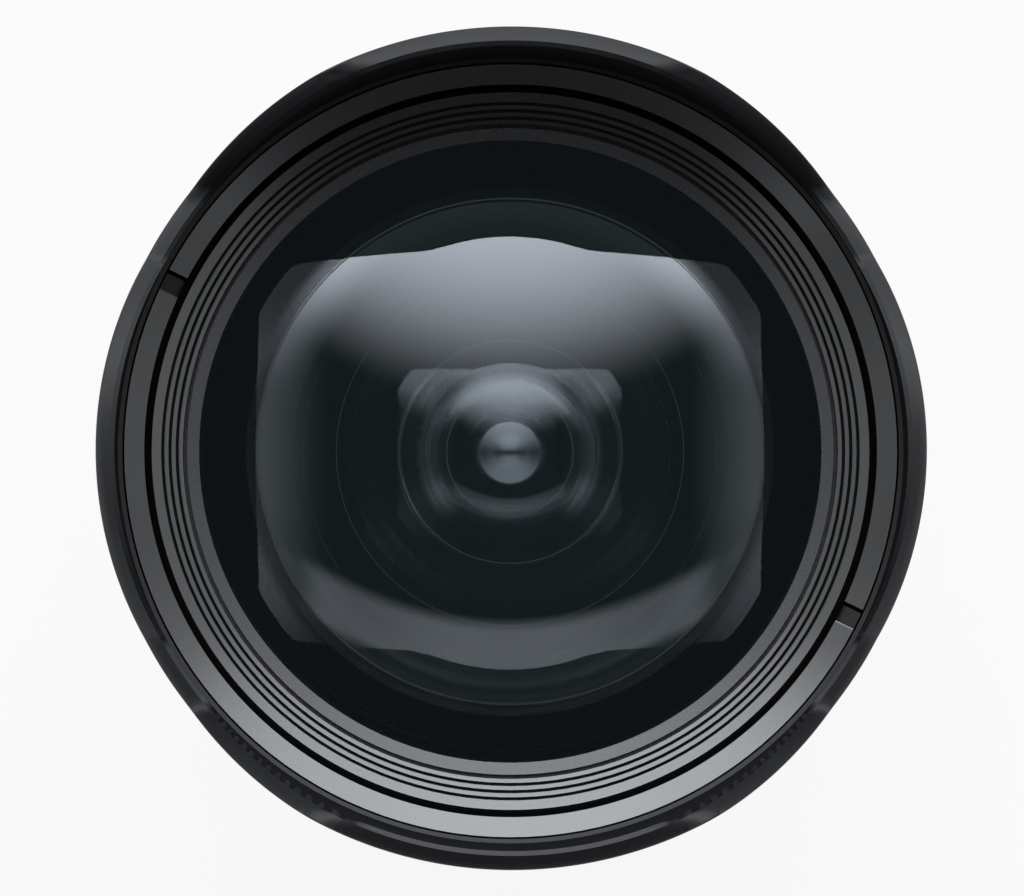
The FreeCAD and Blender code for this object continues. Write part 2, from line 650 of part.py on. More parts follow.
def rear_barrel():
    """Flared shell between the bayonet and the zoom ring, with the frame flange inside."""
    end_bore = REGISTER_RADIUS + FREE_GAP
    board_radius = REAR_END_RADIUS - REAR_WALL
    ledge_z = BOARD_Z + BOARD_THICKNESS
    ledge_end_z = ledge_z + BOARD_LEDGE
    slope = (REAR_BARREL_RADIUS - REAR_END_RADIUS) / REAR_FLARE_LENGTH

    def shell_bore(height):
        return REAR_END_RADIUS + slope * (height - REAR_BARREL_Z) - REAR_WALL

    shell = turned([
        (end_bore, REAR_BARREL_Z),
        (REAR_END_RADIUS, REAR_BARREL_Z),
        (REAR_BARREL_RADIUS, REAR_BARREL_Z + REAR_FLARE_LENGTH),
        (REAR_BARREL_RADIUS, REAR_BARREL_END_Z),
        (SLEEVE_RADIUS + SEAT_FIT, REAR_BARREL_END_Z),
        (SLEEVE_RADIUS + SEAT_FIT, SLEEVE_Z),
        (FRAME_BORE_RADIUS, SLEEVE_Z),
        (FRAME_BORE_RADIUS, FRAME_Z),
        (shell_bore(FRAME_Z), FRAME_Z),
        (shell_bore(ledge_end_z), ledge_end_z),
        (board_radius - BOARD_LEDGE, ledge_end_z),
        (board_radius - BOARD_LEDGE, ledge_z),
        (board_radius, ledge_z),
        (board_radius, REAR_BARREL_Z + REAR_END_WALL),
        (end_bore, REAR_BARREL_Z + REAR_END_WALL),
    ])
    mount_hole = upright_at(
        SCREW_SHANK_RADIUS + SEAT_FIT, MOUNT_SCREW_CIRCLE, 0, REAR_BARREL_Z, REAR_BARREL_Z + REAR_END_WALL
    )
    for copy in turned_copies(mount_hole, MOUNT_SCREW_COUNT, MOUNT_SCREW_ANGLE):
        shell = shell.cut(copy)
    for copy in frame_screw_holes():
        shell = shell.cut(copy)
    return shell


def frame_screw_holes():
    """Clearance for the frame screws through all three flanges."""
    hole = upright_at(SCREW_SHANK_RADIUS + SEAT_FIT, FRAME_SCREW_CIRCLE, 0, FRAME_Z, GUIDE_FLOOR_Z)
    return turned_copies(hole, FRAME_SCREW_COUNT, FRAME_SCREW_ANGLE)


def frame_screws():
    """Screws that clamp the sleeve and the guide tube to the rear barrel."""
    head = upright_at(SCREW_HEAD_RADIUS, FRAME_SCREW_CIRCLE, 0, FRAME_Z - SCREW_HEAD_HEIGHT, FRAME_Z)
    shank = upright_at(SCREW_SHANK_RADIUS, FRAME_SCREW_CIRCLE, 0, FRAME_Z, GUIDE_FLOOR_Z - SEAT_FIT)
    return turned_copies(head.fuse(shank), FRAME_SCREW_COUNT, FRAME_SCREW_ANGLE)


def main_sleeve():
    """Fixed sleeve that the zoom ring turns on, with a window for the zoom key."""
    sleeve = turned([
        (FRAME_BORE_RADIUS, SLEEVE_Z),
        (SLEEVE_RADIUS, SLEEVE_Z),
        (SLEEVE_RADIUS, SLEEVE_END_Z),
        (SLEEVE_BORE, SLEEVE_END_Z),
        (SLEEVE_BORE, GUIDE_Z),
        (FRAME_BORE_RADIUS, GUIDE_Z),
    ])
    half_height = KEY_RADIUS + KEY_WINDOW_GAP
    end_angle = math.degrees(half_height / SLEEVE_BORE) + KEY_WINDOW_END_ANGLE
    window = sector(
        SLEEVE_BORE - CAM_SPACE / 2,
        SLEEVE_RADIUS + CAM_SPACE,
        KEY_Z - half_height,
        KEY_Z + half_height,
        ZOOM_TURN / 2,
        ZOOM_TURN + 2 * end_angle,
    )
    sleeve = sleeve.cut(window)
    for copy in frame_screw_holes():
        sleeve = sleeve.cut(copy)
    return sleeve


def straight_slot(bottom, top, angle):
    """Cutter for one lengthwise slot with round ends, for a roller that travels from bottom to top."""
    half_width = ROLLER_RADIUS + ROLLER_FIT
    inner = GUIDE_BORE - GUIDE_WALL
    depth = 3 * GUIDE_WALL
    slot = Part.makeBox(depth, 2 * half_width, top - bottom, Vector(inner, -half_width, bottom))
    slot.rotate(ORIGIN, Z_AXIS, angle)
    for height in (bottom, top):
        slot = slot.fuse(radial_pin(half_width, inner, inner + depth, angle, height))
    return slot


def guide_tube():
    """Fixed tube with the straight slots that keep both groups from turning."""
    body = turned([
        (REAR_CELL_RADIUS + SEAT_FIT, GUIDE_Z),
        (GUIDE_RADIUS, GUIDE_Z),
        (GUIDE_RADIUS, GUIDE_END_Z),
        (GUIDE_BORE, GUIDE_END_Z),
        (GUIDE_BORE, GUIDE_FLOOR_Z),
        (REAR_CELL_RADIUS + SEAT_FIT, GUIDE_FLOOR_Z),
    ])
    for angle in roller_angles(FRONT_ROLLER_ANGLE):
        body = body.cut(straight_slot(FRONT_ROLLER_Z - FRONT_GROUP_TRAVEL, FRONT_ROLLER_Z, angle))
    for angle in roller_angles(VARIATOR_ROLLER_ANGLE):
        body = body.cut(straight_slot(VARIATOR_ROLLER_Z, VARIATOR_ROLLER_Z + VARIATOR_TRAVEL, angle))
    for copy in frame_screw_holes():
        body = body.cut(copy)
    for angle in ROD_ANGLES:
        body = body.cut(upright_at(ROD_RADIUS + SEAT_FIT, ROD_CIRCLE, angle, GUIDE_Z, GUIDE_FLOOR_Z))
    screw_hole = upright_at(SCREW_ROD_RADIUS + FREE_GAP, ROD_CIRCLE, 0, GUIDE_Z, GUIDE_FLOOR_Z)
    return body.cut(screw_hole)


def cam_retaining_ring():
    """Ring on the front end of the guide tube that keeps the cam tube in place."""
    return tube(CAM_RADIUS, GUIDE_RADIUS + SEAT_FIT, CAM_RING_Z, GUIDE_END_Z)


def helical_slot(first_angle, first_z, rise, rising_forward):
    """Cutter for one cam slot that climbs by rise while it winds through the zoom turn.

    The slot starts at its lower end. rising_forward is true where it winds towards growing angles.
    """
    half_width = ROLLER_RADIUS + ROLLER_FIT
    middle = (CAM_BORE + CAM_RADIUS) / 2
    reach = CAM_WALL
    pitch = rise * 360.0 / ZOOM_TURN
    lead_angle = math.degrees(math.atan(pitch / (2 * math.pi * middle)))
    helix = Part.makeHelix(pitch, rise, middle, 0, not rising_forward)
    corners = [
        Vector(middle - reach, 0, -half_width),
        Vector(middle + reach, 0, -half_width),
        Vector(middle + reach, 0, half_width),
        Vector(middle - reach, 0, half_width),
    ]
    profile = Part.makePolygon(corners + corners[:1])
    profile.rotate(Vector(middle, 0, 0), X_AXIS, lead_angle if rising_forward else -lead_angle)
    slot = Part.Wire(helix.Edges).makePipeShell([profile], True, True)
    last_angle = ZOOM_TURN if rising_forward else -ZOOM_TURN
    slot = slot.fuse(radial_pin(half_width, middle - reach, middle + reach, 0, 0))
    slot = slot.fuse(radial_pin(half_width, middle - reach, middle + reach, last_angle, rise))
    slot.translate(Vector(0, 0, first_z))
    slot.rotate(ORIGIN, Z_AXIS, first_angle)
    return slot


def cam_tube():
    """Turning tube whose helical slots drive the rollers of both groups."""
    body = tube(CAM_RADIUS, CAM_BORE, CAM_Z, CAM_END_Z)
    for angle in roller_angles(FRONT_ROLLER_ANGLE):
        low_z = FRONT_ROLLER_Z - FRONT_GROUP_TRAVEL
        body = body.cut(helical_slot(angle - ZOOM_TURN, low_z, FRONT_GROUP_TRAVEL, True))
    for angle in roller_angles(VARIATOR_ROLLER_ANGLE):
        body = body.cut(helical_slot(angle, VARIATOR_ROLLER_Z, VARIATOR_TRAVEL, False))
    return body.cut(radial_pin(KEY_RADIUS + SEAT_FIT, CAM_BORE - CAM_WALL, CAM_RADIUS + CAM_WALL, 0, KEY_Z))


def zoom_key():
    """Peg from the zoom ring through the sleeve's window into the cam tube."""
    outer = ZOOM_RING_BORE + ZOOM_RING_WALL / 2
    return radial_pin(KEY_RADIUS, CAM_BORE + SEAT_FIT, outer, 0, KEY_Z)


def zoom_ring():
    """Metal zoom ring: two bearing lands inside, relieved between them."""
    relief = ZOOM_RING_BORE + ZOOM_RING_WALL / 2
    ring = turned([
        (ZOOM_RING_BORE, ZOOM_RING_Z),
        (ZOOM_RING_RADIUS, ZOOM_RING_Z),
        (ZOOM_RING_RADIUS, ZOOM_RING_END_Z),
        (ZOOM_RING_BORE, ZOOM_RING_END_Z),
        (ZOOM_RING_BORE, ZOOM_RING_END_Z - ZOOM_LAND_LENGTH),
        (relief, ZOOM_RING_END_Z - ZOOM_LAND_LENGTH),
        (relief, ZOOM_RING_Z + ZOOM_LAND_LENGTH),
        (ZOOM_RING_BORE, ZOOM_RING_Z + ZOOM_LAND_LENGTH),
    ])
    socket = radial_pin(KEY_RADIUS + SEAT_FIT, SLEEVE_BORE, ZOOM_RING_BORE + ZOOM_RING_WALL / 2, 0, KEY_Z)
    return ring.cut(socket)


def zoom_grip():
    """Ribbed rubber sleeve on the zoom ring, clear of the scale band."""
    return ribbed_grip(
        ZOOM_RING_RADIUS,
        ZOOM_GRIP_WALL,
        ZOOM_RIB_HEIGHT,
        ZOOM_RIB_COUNT,
        ZOOM_RING_Z + ZOOM_SCALE_WIDTH,
        ZOOM_RING_END_Z - ZOOM_GRIP_MARGIN,
    )


def switch_middle_z():
    """Height of the switch at rest, at the rear end of its travel."""
    return (MID_BARREL_Z + MID_BARREL_END_Z - SWITCH_TRAVEL) / 2


def mid_barrel():
    """Fixed ring between the zoom and focus rings, with openings for the switch and the button."""
    bore = SLEEVE_RADIUS + SEAT_FIT
    shell_bore = MID_BARREL_RADIUS - MID_BARREL_WALL
    shell = turned([
        (bore, MID_BARREL_Z),
        (MID_BARREL_RADIUS, MID_BARREL_Z),
        (MID_BARREL_RADIUS, MID_BARREL_END_Z),
        (bore, MID_BARREL_END_Z),
        (bore, MID_BARREL_END_Z - MID_END_WALL),
        (shell_bore, MID_BARREL_END_Z - MID_END_WALL),
        (shell_bore, MID_BARREL_Z + MID_END_WALL),
        (bore, MID_BARREL_Z + MID_END_WALL),
    ])
    window_length = SWITCH_KNOB_LENGTH + SWITCH_TRAVEL + 2 * SWITCH_GAP
    window_width = SWITCH_KNOB_WIDTH + 2 * SWITCH_GAP
    window = Part.makeBox(
        2 * MID_BARREL_WALL + MID_BARREL_DEPTH,
        window_width,
        window_length,
        Vector(SLEEVE_RADIUS, -window_width / 2, switch_middle_z() - SWITCH_KNOB_LENGTH / 2 - SWITCH_GAP),
    )
    middle_z = (MID_BARREL_Z + MID_BARREL_END_Z) / 2
    hole_end = MID_BARREL_RADIUS + CUT_MARGIN
    hole = radial_pin(BUTTON_RADIUS + BUTTON_GAP, SLEEVE_RADIUS, hole_end, BUTTON_ANGLE, middle_z)
    return shell.cut(window).cut(hole)


def focus_mode_switch():
    """Slide switch: knob outside, plate behind the window."""
    middle_z = switch_middle_z()
    plate_top = MID_BARREL_RADIUS - MID_BARREL_WALL - SWITCH_GAP
    plate_width = SWITCH_KNOB_WIDTH + 2 * SWITCH_PLATE_MARGIN
    knob = Part.makeBox(
        MID_BARREL_RADIUS + SWITCH_PROUD - plate_top,
        SWITCH_KNOB_WIDTH,
        SWITCH_KNOB_LENGTH,
        Vector(plate_top, -SWITCH_KNOB_WIDTH / 2, middle_z - SWITCH_KNOB_LENGTH / 2),
    )
    plate_length = SWITCH_KNOB_LENGTH + 2 * SWITCH_PLATE_MARGIN
    plate = Part.makeBox(
        SWITCH_PLATE,
        plate_width,
        plate_length,
        Vector(plate_top - SWITCH_PLATE, -plate_width / 2, middle_z - plate_length / 2),
    )
    return knob.fuse(plate)


def focus_hold_button():
    """Round push button with a retaining flange behind the shell."""
    middle_z = (MID_BARREL_Z + MID_BARREL_END_Z) / 2
    flange_outer = MID_BARREL_RADIUS - MID_BARREL_WALL - BUTTON_GAP - BUTTON_FLANGE / 2
    flange_inner = flange_outer - BUTTON_FLANGE_THICKNESS
    stem = radial_pin(BUTTON_RADIUS, flange_inner, MID_BARREL_RADIUS + BUTTON_PROUD, BUTTON_ANGLE, middle_z)
    flange = radial_pin(BUTTON_RADIUS + BUTTON_FLANGE, flange_inner, flange_outer, BUTTON_ANGLE, middle_z)
    return stem.fuse(flange)


def front_barrel():
    """Front barrel: sleeve under the focus ring, shoulder, and nose with the hood's lugs."""
    seat_z = FRONT_Z - BEZEL_DEPTH
    body = turned([
        (SLEEVE_RADIUS + SEAT_FIT, FRONT_FLANGE_Z),
        (THREAD_BORE, FRONT_FLANGE_Z),
        (THREAD_BORE, MID_BARREL_END_Z),
        (FOCUS_SLEEVE_RADIUS, MID_BARREL_END_Z),
        (FOCUS_SLEEVE_RADIUS, SHOULDER_Z),
        (SHOULDER_RADIUS, SHOULDER_Z),
        (SHOULDER_RADIUS, NOSE_Z),
        (NOSE_RADIUS, NOSE_Z),
        (NOSE_RADIUS, FRONT_Z - BEZEL_FLANGE),
        (BEZEL_SKIRT_RADIUS + SEAT_FIT, FRONT_Z - BEZEL_FLANGE),
        (BEZEL_SKIRT_RADIUS + SEAT_FIT, seat_z),
        (THREAD_BORE, seat_z),
        (THREAD_BORE, SLEEVE_END_Z),
        (SLEEVE_RADIUS + SEAT_FIT, SLEEVE_END_Z),
    ])
    lug_end_z = HOOD_LUG_Z + HOOD_LUG_LENGTH
    lug = sector(NOSE_RADIUS - CUT_MARGIN, HOOD_LUG_RADIUS, HOOD_LUG_Z, lug_end_z, 0, HOOD_LUG_ANGLE)
    for copy in turned_copies(lug, HOOD_LUG_COUNT):
        body = body.fuse(copy)
    return body


def front_bezel():
    """Front ring with the filter thread, its relief groove and two spanner slots."""
    skirt_z = FRONT_Z - BEZEL_DEPTH
    flange_z = FRONT_Z - BEZEL_FLANGE
    lead_z = FRONT_Z - THREAD_LEAD
    face_z = lead_z + THREAD_DEPTH / 4
    ring = turned([
        (THREAD_BORE + THREAD_RELIEF, skirt_z),
        (BEZEL_SKIRT_RADIUS, skirt_z),
        (BEZEL_SKIRT_RADIUS, flange_z),
        (NOSE_RADIUS, flange_z),
        (NOSE_RADIUS, FRONT_Z),
        (THREAD_RADIUS, face_z),
        (THREAD_BORE, lead_z),
        (THREAD_BORE, THREAD_Z),
        (THREAD_BORE + THREAD_RELIEF, THREAD_Z - THREAD_RELIEF / 2),
    ])
    slot_start = Vector(THREAD_RADIUS, -SPANNER_SLOT_WIDTH / 2, face_z - SPANNER_SLOT_DEPTH)
    face_angle = math.degrees(math.atan((FRONT_Z - face_z) / BEZEL_WIDTH))
    for angle in SPANNER_SLOT_ANGLES:
        slot = Part.makeBox(2 * BEZEL_WIDTH, SPANNER_SLOT_WIDTH, 2 * BEZEL_WIDTH, slot_start)
        slot.translate(Vector(-BEZEL_WIDTH / 2, 0, 0))
        slot.rotate(slot_start, Y_AXIS, -face_angle)
        slot.rotate(ORIGIN, Z_AXIS, angle)
        ring = ring.cut(slot)
    return ring


def focus_ring():
    """Metal focus ring on the front barrel's sleeve."""
    return tube(FOCUS_RING_RADIUS, FOCUS_RING_BORE, FOCUS_RING_Z, FOCUS_RING_END_Z)


def focus_grip():
    """Finely ribbed rubber sleeve on the focus ring."""
    return ribbed_grip(
        FOCUS_RING_RADIUS,
        FOCUS_GRIP_WALL,
        FOCUS_RIB_HEIGHT,
        FOCUS_RIB_COUNT,
        FOCUS_RING_Z + FOCUS_GRIP_MARGIN,
        FOCUS_RING_END_Z - FOCUS_GRIP_MARGIN,
    )


def petal_cutter():
    """Everything above the hood's rim, as one outline in the side view, drawn along X."""
    notch_z = FRONT_Z + HOOD_NOTCH_HEIGHT
    side_z = FRONT_Z + HOOD_SIDE_HEIGHT
    top_z = HOOD_TIP_Z + HOOD_RADIUS
    side_y = HOOD_RADIUS * math.sin(math.radians(HOOD_SIDE_ANGLE))
    flank_y = HOOD_RADIUS * math.sin(math.radians(HOOD_FLANK_ANGLE))
    upper_y = HOOD_RADIUS * math.cos(math.radians(HOOD_TOP_TIP_ANGLE))
    lower_y = -HOOD_RADIUS * math.cos(math.radians(HOOD_BOTTOM_TIP_ANGLE))
    far_y = 2 * HOOD_RADIUS
    start_x = -far_y
    upper_path = [
        Vector(start_x, side_y, notch_z),
        Vector(start_x, flank_y, notch_z),
        Vector(start_x, upper_y, HOOD_TIP_Z),
        Vector(start_x, far_y, HOOD_TIP_Z),
        Vector(start_x, far_y, top_z),
        Vector(start_x, -far_y, top_z),
        Vector(start_x, -far_y, HOOD_TIP_Z),
        Vector(start_x, lower_y, HOOD_TIP_Z),
        Vector(start_x, -flank_y, notch_z),
        Vector(start_x, -side_y, notch_z),
    ]
    arch = Part.Arc(upper_path[-1], Vector(start_x, 0, side_z), upper_path[0])
    outline = Part.Wire(Part.makePolygon(upper_path).Edges + [arch.toShape()])
    cutter = Part.Face(outline).extrude(Vector(2 * far_y, 0, 0))
    corner_edges = []
    for edge in cutter.Edges:
        start = edge.Vertexes[0].Point
        end = edge.Vertexes[-1].Point
        along_x = abs(start.x - end.x) > far_y
        if along_x and start.z < HOOD_TIP_Z + CUT_MARGIN and abs(start.y) < HOOD_RADIUS:
            corner_edges.append(edge)
    return cutter.makeFillet(HOOD_CORNER_RADIUS, corner_edges)


def hood_collar_cuts():
    """Bayonet groove inside the hood's collar, and the three entries into it."""
    groove_radius = HOOD_LUG_RADIUS + HOOD_LUG_GAP
    groove_z = HOOD_LUG_Z - HOOD_LUG_GAP
    groove_end_z = HOOD_LUG_Z + HOOD_LUG_LENGTH + HOOD_LUG_GAP
    inner = HOOD_COLLAR_BORE - CUT_MARGIN
    middle = HOOD_TURN / 2
    entry_width = HOOD_LUG_ANGLE + 2 * HOOD_LUG_SIDE_ANGLE
    track = sector(inner, groove_radius, groove_z, groove_end_z, -middle, HOOD_TURN + entry_width)
    entry_z = HOOD_Z - CUT_MARGIN
    entry = sector(inner, groove_radius, entry_z, groove_end_z, -HOOD_TURN, entry_width)
    return turned_copies(track.fuse(entry), HOOD_LUG_COUNT)


def lens_hood():
    """Petal hood: collar on the nose, thin wall, four petals and a bevelled rim."""
    lip_z = FRONT_Z + HOOD_LIP_HEIGHT
    blank = turned([
        (HOOD_COLLAR_BORE, HOOD_Z),
        (HOOD_RADIUS, HOOD_Z),
        (HOOD_RADIUS, HOOD_TIP_Z + CUT_MARGIN),
        (HOOD_BORE_RADIUS, HOOD_TIP_Z + CUT_MARGIN),
        (HOOD_BORE_RADIUS, lip_z),
        (HOOD_COLLAR_BORE, FRONT_Z),
    ])
    hood = blank.cut(petal_cutter()).removeSplitter()
    rim_edges = []
    for edge in hood.Edges:
        middle = edge.valueAt((edge.FirstParameter + edge.LastParameter) / 2)
        on_outside = abs(math.hypot(middle.x, middle.y) - HOOD_RADIUS) < SEAT_FIT
        if on_outside and edge.BoundBox.ZMin > lip_z + SEAT_FIT:
            rim_edges.append(edge)
    hood = hood.makeChamfer(HOOD_BEVEL, rim_edges)
    for cut in hood_collar_cuts():
        hood = hood.cut(cut)
    return hood


def front_group_barrel():
    """Sliding barrel of the front group: rim, stepped baffle, glass cells and roller skirt."""
    baffle_floor_z = FRONT_SEAT_Z + RETAINER_THICKNESS + SEAT_FIT
    step_drop = (GROUP_FRONT_Z - baffle_floor_z) / (BAFFLE_STEP_COUNT + 1)
    rim_drop = FACE_SLOPE * GROUP_RIM_WIDTH
    ridge_drop = FACE_SLOPE * (BAFFLE_STEP_WIDTH - BAFFLE_GROOVE_WIDTH)
    outline = [(GROUP_RADIUS, GROUP_FRONT_Z), (BAFFLE_RADIUS, GROUP_FRONT_Z - rim_drop)]
    radius = BAFFLE_RADIUS
    height = GROUP_FRONT_Z
    for step in range(BAFFLE_STEP_COUNT):
        height -= step_drop
        groove_radius = radius - BAFFLE_GROOVE_WIDTH
        outline.append((radius, height - BAFFLE_GROOVE_DEPTH))
        outline.append((groove_radius, height - BAFFLE_GROOVE_DEPTH))
        outline.append((groove_radius, height))
        radius -= BAFFLE_STEP_WIDTH
        outline.append((radius, height - ridge_drop))
    cell_2 = GLASS_2_RIM + SEAT_FIT
    cell_3 = GLASS_3_RIM + SEAT_FIT
    cell_4 = GLASS_4_RIM + SEAT_FIT
    glass_3_front_z = surface_height(GLASS_3_Z, -GLASS_3_RADIUS, GLASS_3_RIM)
    cell_end_z = GLASS_4_EDGE_Z - INNER_RETAINER_LENGTH
    outline += [
        (radius, FRONT_SEAT_Z),
        (FRONT_GLASS_RIM + SEAT_FIT, FRONT_SEAT_Z),
        (FRONT_GLASS_RIM + SEAT_FIT, FRONT_FLOOR_Z),
        (cell_2, FRONT_FLOOR_Z),
        (cell_2, GLASS_2_SEAT_Z),
        (cell_3 + CELL_LEDGE, GLASS_2_SEAT_Z),
        (cell_3, glass_3_front_z),
        (cell_3, GLASS_3_SEAT_Z),
        (cell_4, GLASS_3_SEAT_Z),
        (cell_4, cell_end_z),
        (cell_4 + CELL_WALL, cell_end_z),
        (cell_4 + CELL_WALL, GLASS_3_SEAT_Z - CELL_WALL),
        (cell_3 + CELL_WALL, GLASS_3_SEAT_Z - CELL_WALL),
        (cell_3 + CELL_WALL, GLASS_2_SEAT_Z - CELL_WALL),
        (cell_2 + CELL_WALL, GLASS_2_SEAT_Z - CELL_WALL),
        (cell_2 + CELL_WALL, GROUP_FLOOR_Z),
        (SKIRT_BORE, GROUP_FLOOR_Z),
        (SKIRT_BORE, SKIRT_END_Z),
        (SLIDE_RADIUS, SKIRT_END_Z),
        (SLIDE_RADIUS, GROUP_FLOOR_Z),
        (GROUP_RADIUS, GROUP_FLOOR_Z),
    ]
    body = turned(outline)
    for angle in roller_angles(FRONT_ROLLER_ANGLE):
        inner = SKIRT_BORE - CUT_MARGIN
        outer = SLIDE_RADIUS + CUT_MARGIN
        stud = radial_pin(ROLLER_STUD_RADIUS + SEAT_FIT, inner, outer, angle, FRONT_ROLLER_Z)
        body = body.cut(stud)
    return body


def front_retaining_ring():
    """Threaded ring that clamps the front glass; its face slopes in towards the glass."""
    outer = RETAINER_RADIUS - SEAT_FIT
    face_radius = outer - RETAINER_RELIEF
    face_z = FRONT_SEAT_Z + RETAINER_THICKNESS
    inner_z = face_z - FACE_SLOPE * (face_radius - FRONT_GLASS_CLEAR)
    return turned([
        (FRONT_GLASS_CLEAR + GLASS_LAND, FRONT_SEAT_Z),
        (outer, FRONT_SEAT_Z),
        (outer, FRONT_SEAT_Z + RETAINER_FLANGE),
        (face_radius, FRONT_SEAT_Z + RETAINER_FLANGE),
        (face_radius, face_z),
        (FRONT_GLASS_CLEAR, inner_z),
    ])


def front_element():
    """Large domed front glass, hollow behind."""
    return glass(
        FRONT_GLASS_RIM,
        (DOME_Z, FRONT_GLASS_RADIUS),
        FRONT_GLASS_CLEAR + GLASS_LAND,
        (FRONT_GLASS_REAR_Z, FRONT_GLASS_REAR_RADIUS),
        FRONT_GLASS_REAR_CLEAR,
    )


def element_2():
    """Second glass, a deep meniscus."""
    return glass(
        GLASS_2_RIM,
        (GLASS_2_Z, GLASS_2_RADIUS),
        GLASS_2_RIM - GLASS_LAND,
        (GLASS_2_REAR_Z, GLASS_2_REAR_RADIUS),
        GLASS_2_REAR_CLEAR,
    )


def element_3():
    """Third glass, hollow on both sides."""
    return glass(
        GLASS_3_RIM,
        (GLASS_3_Z, -GLASS_3_RADIUS),
        GLASS_3_RIM - GLASS_LAND,
        (GLASS_3_REAR_Z, GLASS_3_REAR_RADIUS),
        GLASS_3_REAR_CLEAR,
    )


def element_4():
    """Fourth glass, bulging on both sides."""
    return glass(
        GLASS_4_RIM,
        (GLASS_4_Z, GLASS_4_RADIUS),
        GLASS_4_RIM - CELL_LEDGE,
        (GLASS_4_REAR_Z, -GLASS_4_REAR_RADIUS),
        GLASS_4_RIM - CELL_LEDGE,
    )


def inner_retaining_ring():
    """Ring that clamps the fourth glass from behind."""
    inner = GLASS_4_RIM - CELL_LEDGE + RUNNING_FIT
    return tube(GLASS_4_RIM, inner, GLASS_4_EDGE_Z - INNER_RETAINER_LENGTH, GLASS_4_EDGE_Z)


def cam_rollers(first_angle, height, stud_inner):
    """Three rollers on studs, from the group's rim through both slotted tubes."""
    stud = radial_pin(ROLLER_STUD_RADIUS, stud_inner, SLIDE_RADIUS + SEAT_FIT, 0, height)
    roller = radial_pin(ROLLER_RADIUS, SLIDE_RADIUS + SEAT_FIT, CAM_RADIUS - RUNNING_FIT, 0, height)
    return turned_copies(stud.fuse(roller), ROLLER_COUNT, first_angle)


def variator_carriage():
    """Sliding carriage of the second group: guide rim, web, glass cell and iris flange."""
    cell_bore = GLASS_5_RIM + SEAT_FIT
    cell_radius = cell_bore + VARIATOR_CELL_WALL
    rim_bore = SLIDE_RADIUS - VARIATOR_RIM_WALL
    rim_end_z = VARIATOR_Z + VARIATOR_RIM_LENGTH
    flange_z = VARIATOR_CELL_END_Z - VARIATOR_FLANGE
    body = turned([
        (cell_bore, VARIATOR_Z),
        (SLIDE_RADIUS, VARIATOR_Z),
        (SLIDE_RADIUS, rim_end_z),
        (rim_bore, rim_end_z),
        (rim_bore, VARIATOR_Z + VARIATOR_WEB),
        (cell_radius, VARIATOR_Z + VARIATOR_WEB),
        (cell_radius, flange_z),
        (VARIATOR_FLANGE_RADIUS, flange_z),
        (VARIATOR_FLANGE_RADIUS, VARIATOR_CELL_END_Z),
        (cell_bore, VARIATOR_CELL_END_Z),
    ])
    for angle in roller_angles(VARIATOR_ROLLER_ANGLE):
        inner = rim_bore - CUT_MARGIN
        outer = SLIDE_RADIUS + CUT_MARGIN
        stud = radial_pin(ROLLER_STUD_RADIUS + SEAT_FIT, inner, outer, angle, VARIATOR_ROLLER_Z)
        body = body.cut(stud)
    return body


def element_5():
    """Fifth glass, in the front of the variator."""
    front_z = VARIATOR_CELL_END_Z - GLASS_5_SETBACK
    return glass(
        GLASS_5_RIM,
        (front_z, GLASS_5_RADIUS),
        GLASS_5_RIM - CELL_LEDGE,
        (front_z - GLASS_5_THICKNESS, -GLASS_5_REAR_RADIUS),
        GLASS_5_RIM - CELL_LEDGE,
    )


def element_6():
    """Sixth glass, in the rear of the variator."""
    rear_z = VARIATOR_Z + GLASS_6_SETBACK
    return glass(
        GLASS_5_RIM,
        (rear_z + GLASS_6_THICKNESS, -GLASS_6_RADIUS),
        GLASS_6_REAR_CLEAR,
        (rear_z, GLASS_6_REAR_RADIUS),
        GLASS_6_REAR_CLEAR,
    )


def iris_pivot_angles():
    """Angles of the blade pivots."""
    return [index * 360.0 / IRIS_BLADE_COUNT for index in range(IRIS_BLADE_COUNT)]


def iris_base():
    """Cup that carries the blade pivots; its rim guides the drive ring."""
    cup = turned([
        (IRIS_OPEN_RADIUS, IRIS_Z),
        (IRIS_RADIUS, IRIS_Z),
        (IRIS_RADIUS, IRIS_COVER_Z),
        (IRIS_RIM_BORE, IRIS_COVER_Z),
        (IRIS_RIM_BORE, IRIS_Z + IRIS_BASE_THICKNESS),
        (IRIS_OPEN_RADIUS, IRIS_Z + IRIS_BASE_THICKNESS),
    ])
    hole_radius = IRIS_PIN_RADIUS + IRIS_PIN_FIT
    hole_z = IRIS_Z + IRIS_PIN_FLOOR
    for angle in iris_pivot_angles():
        cup = cup.cut(
            upright_at(hole_radius, IRIS_PIVOT_RADIUS, angle, hole_z, IRIS_Z + IRIS_BASE_THICKNESS)
        )
    return cup


def drive_slot_point(share):
    """Place of the drive pin as the drive ring sees it, at a share of the full turn."""
    place = drive_pin_place(share * IRIS_BLADE_SWING)
    turn = math.radians(-share * IRIS_RING_TURN)
    x = place.x * math.cos(turn) - place.y * math.sin(turn)
    y = place.x * math.sin(turn) + place.y * math.cos(turn)
    return Vector(x, y, 0)


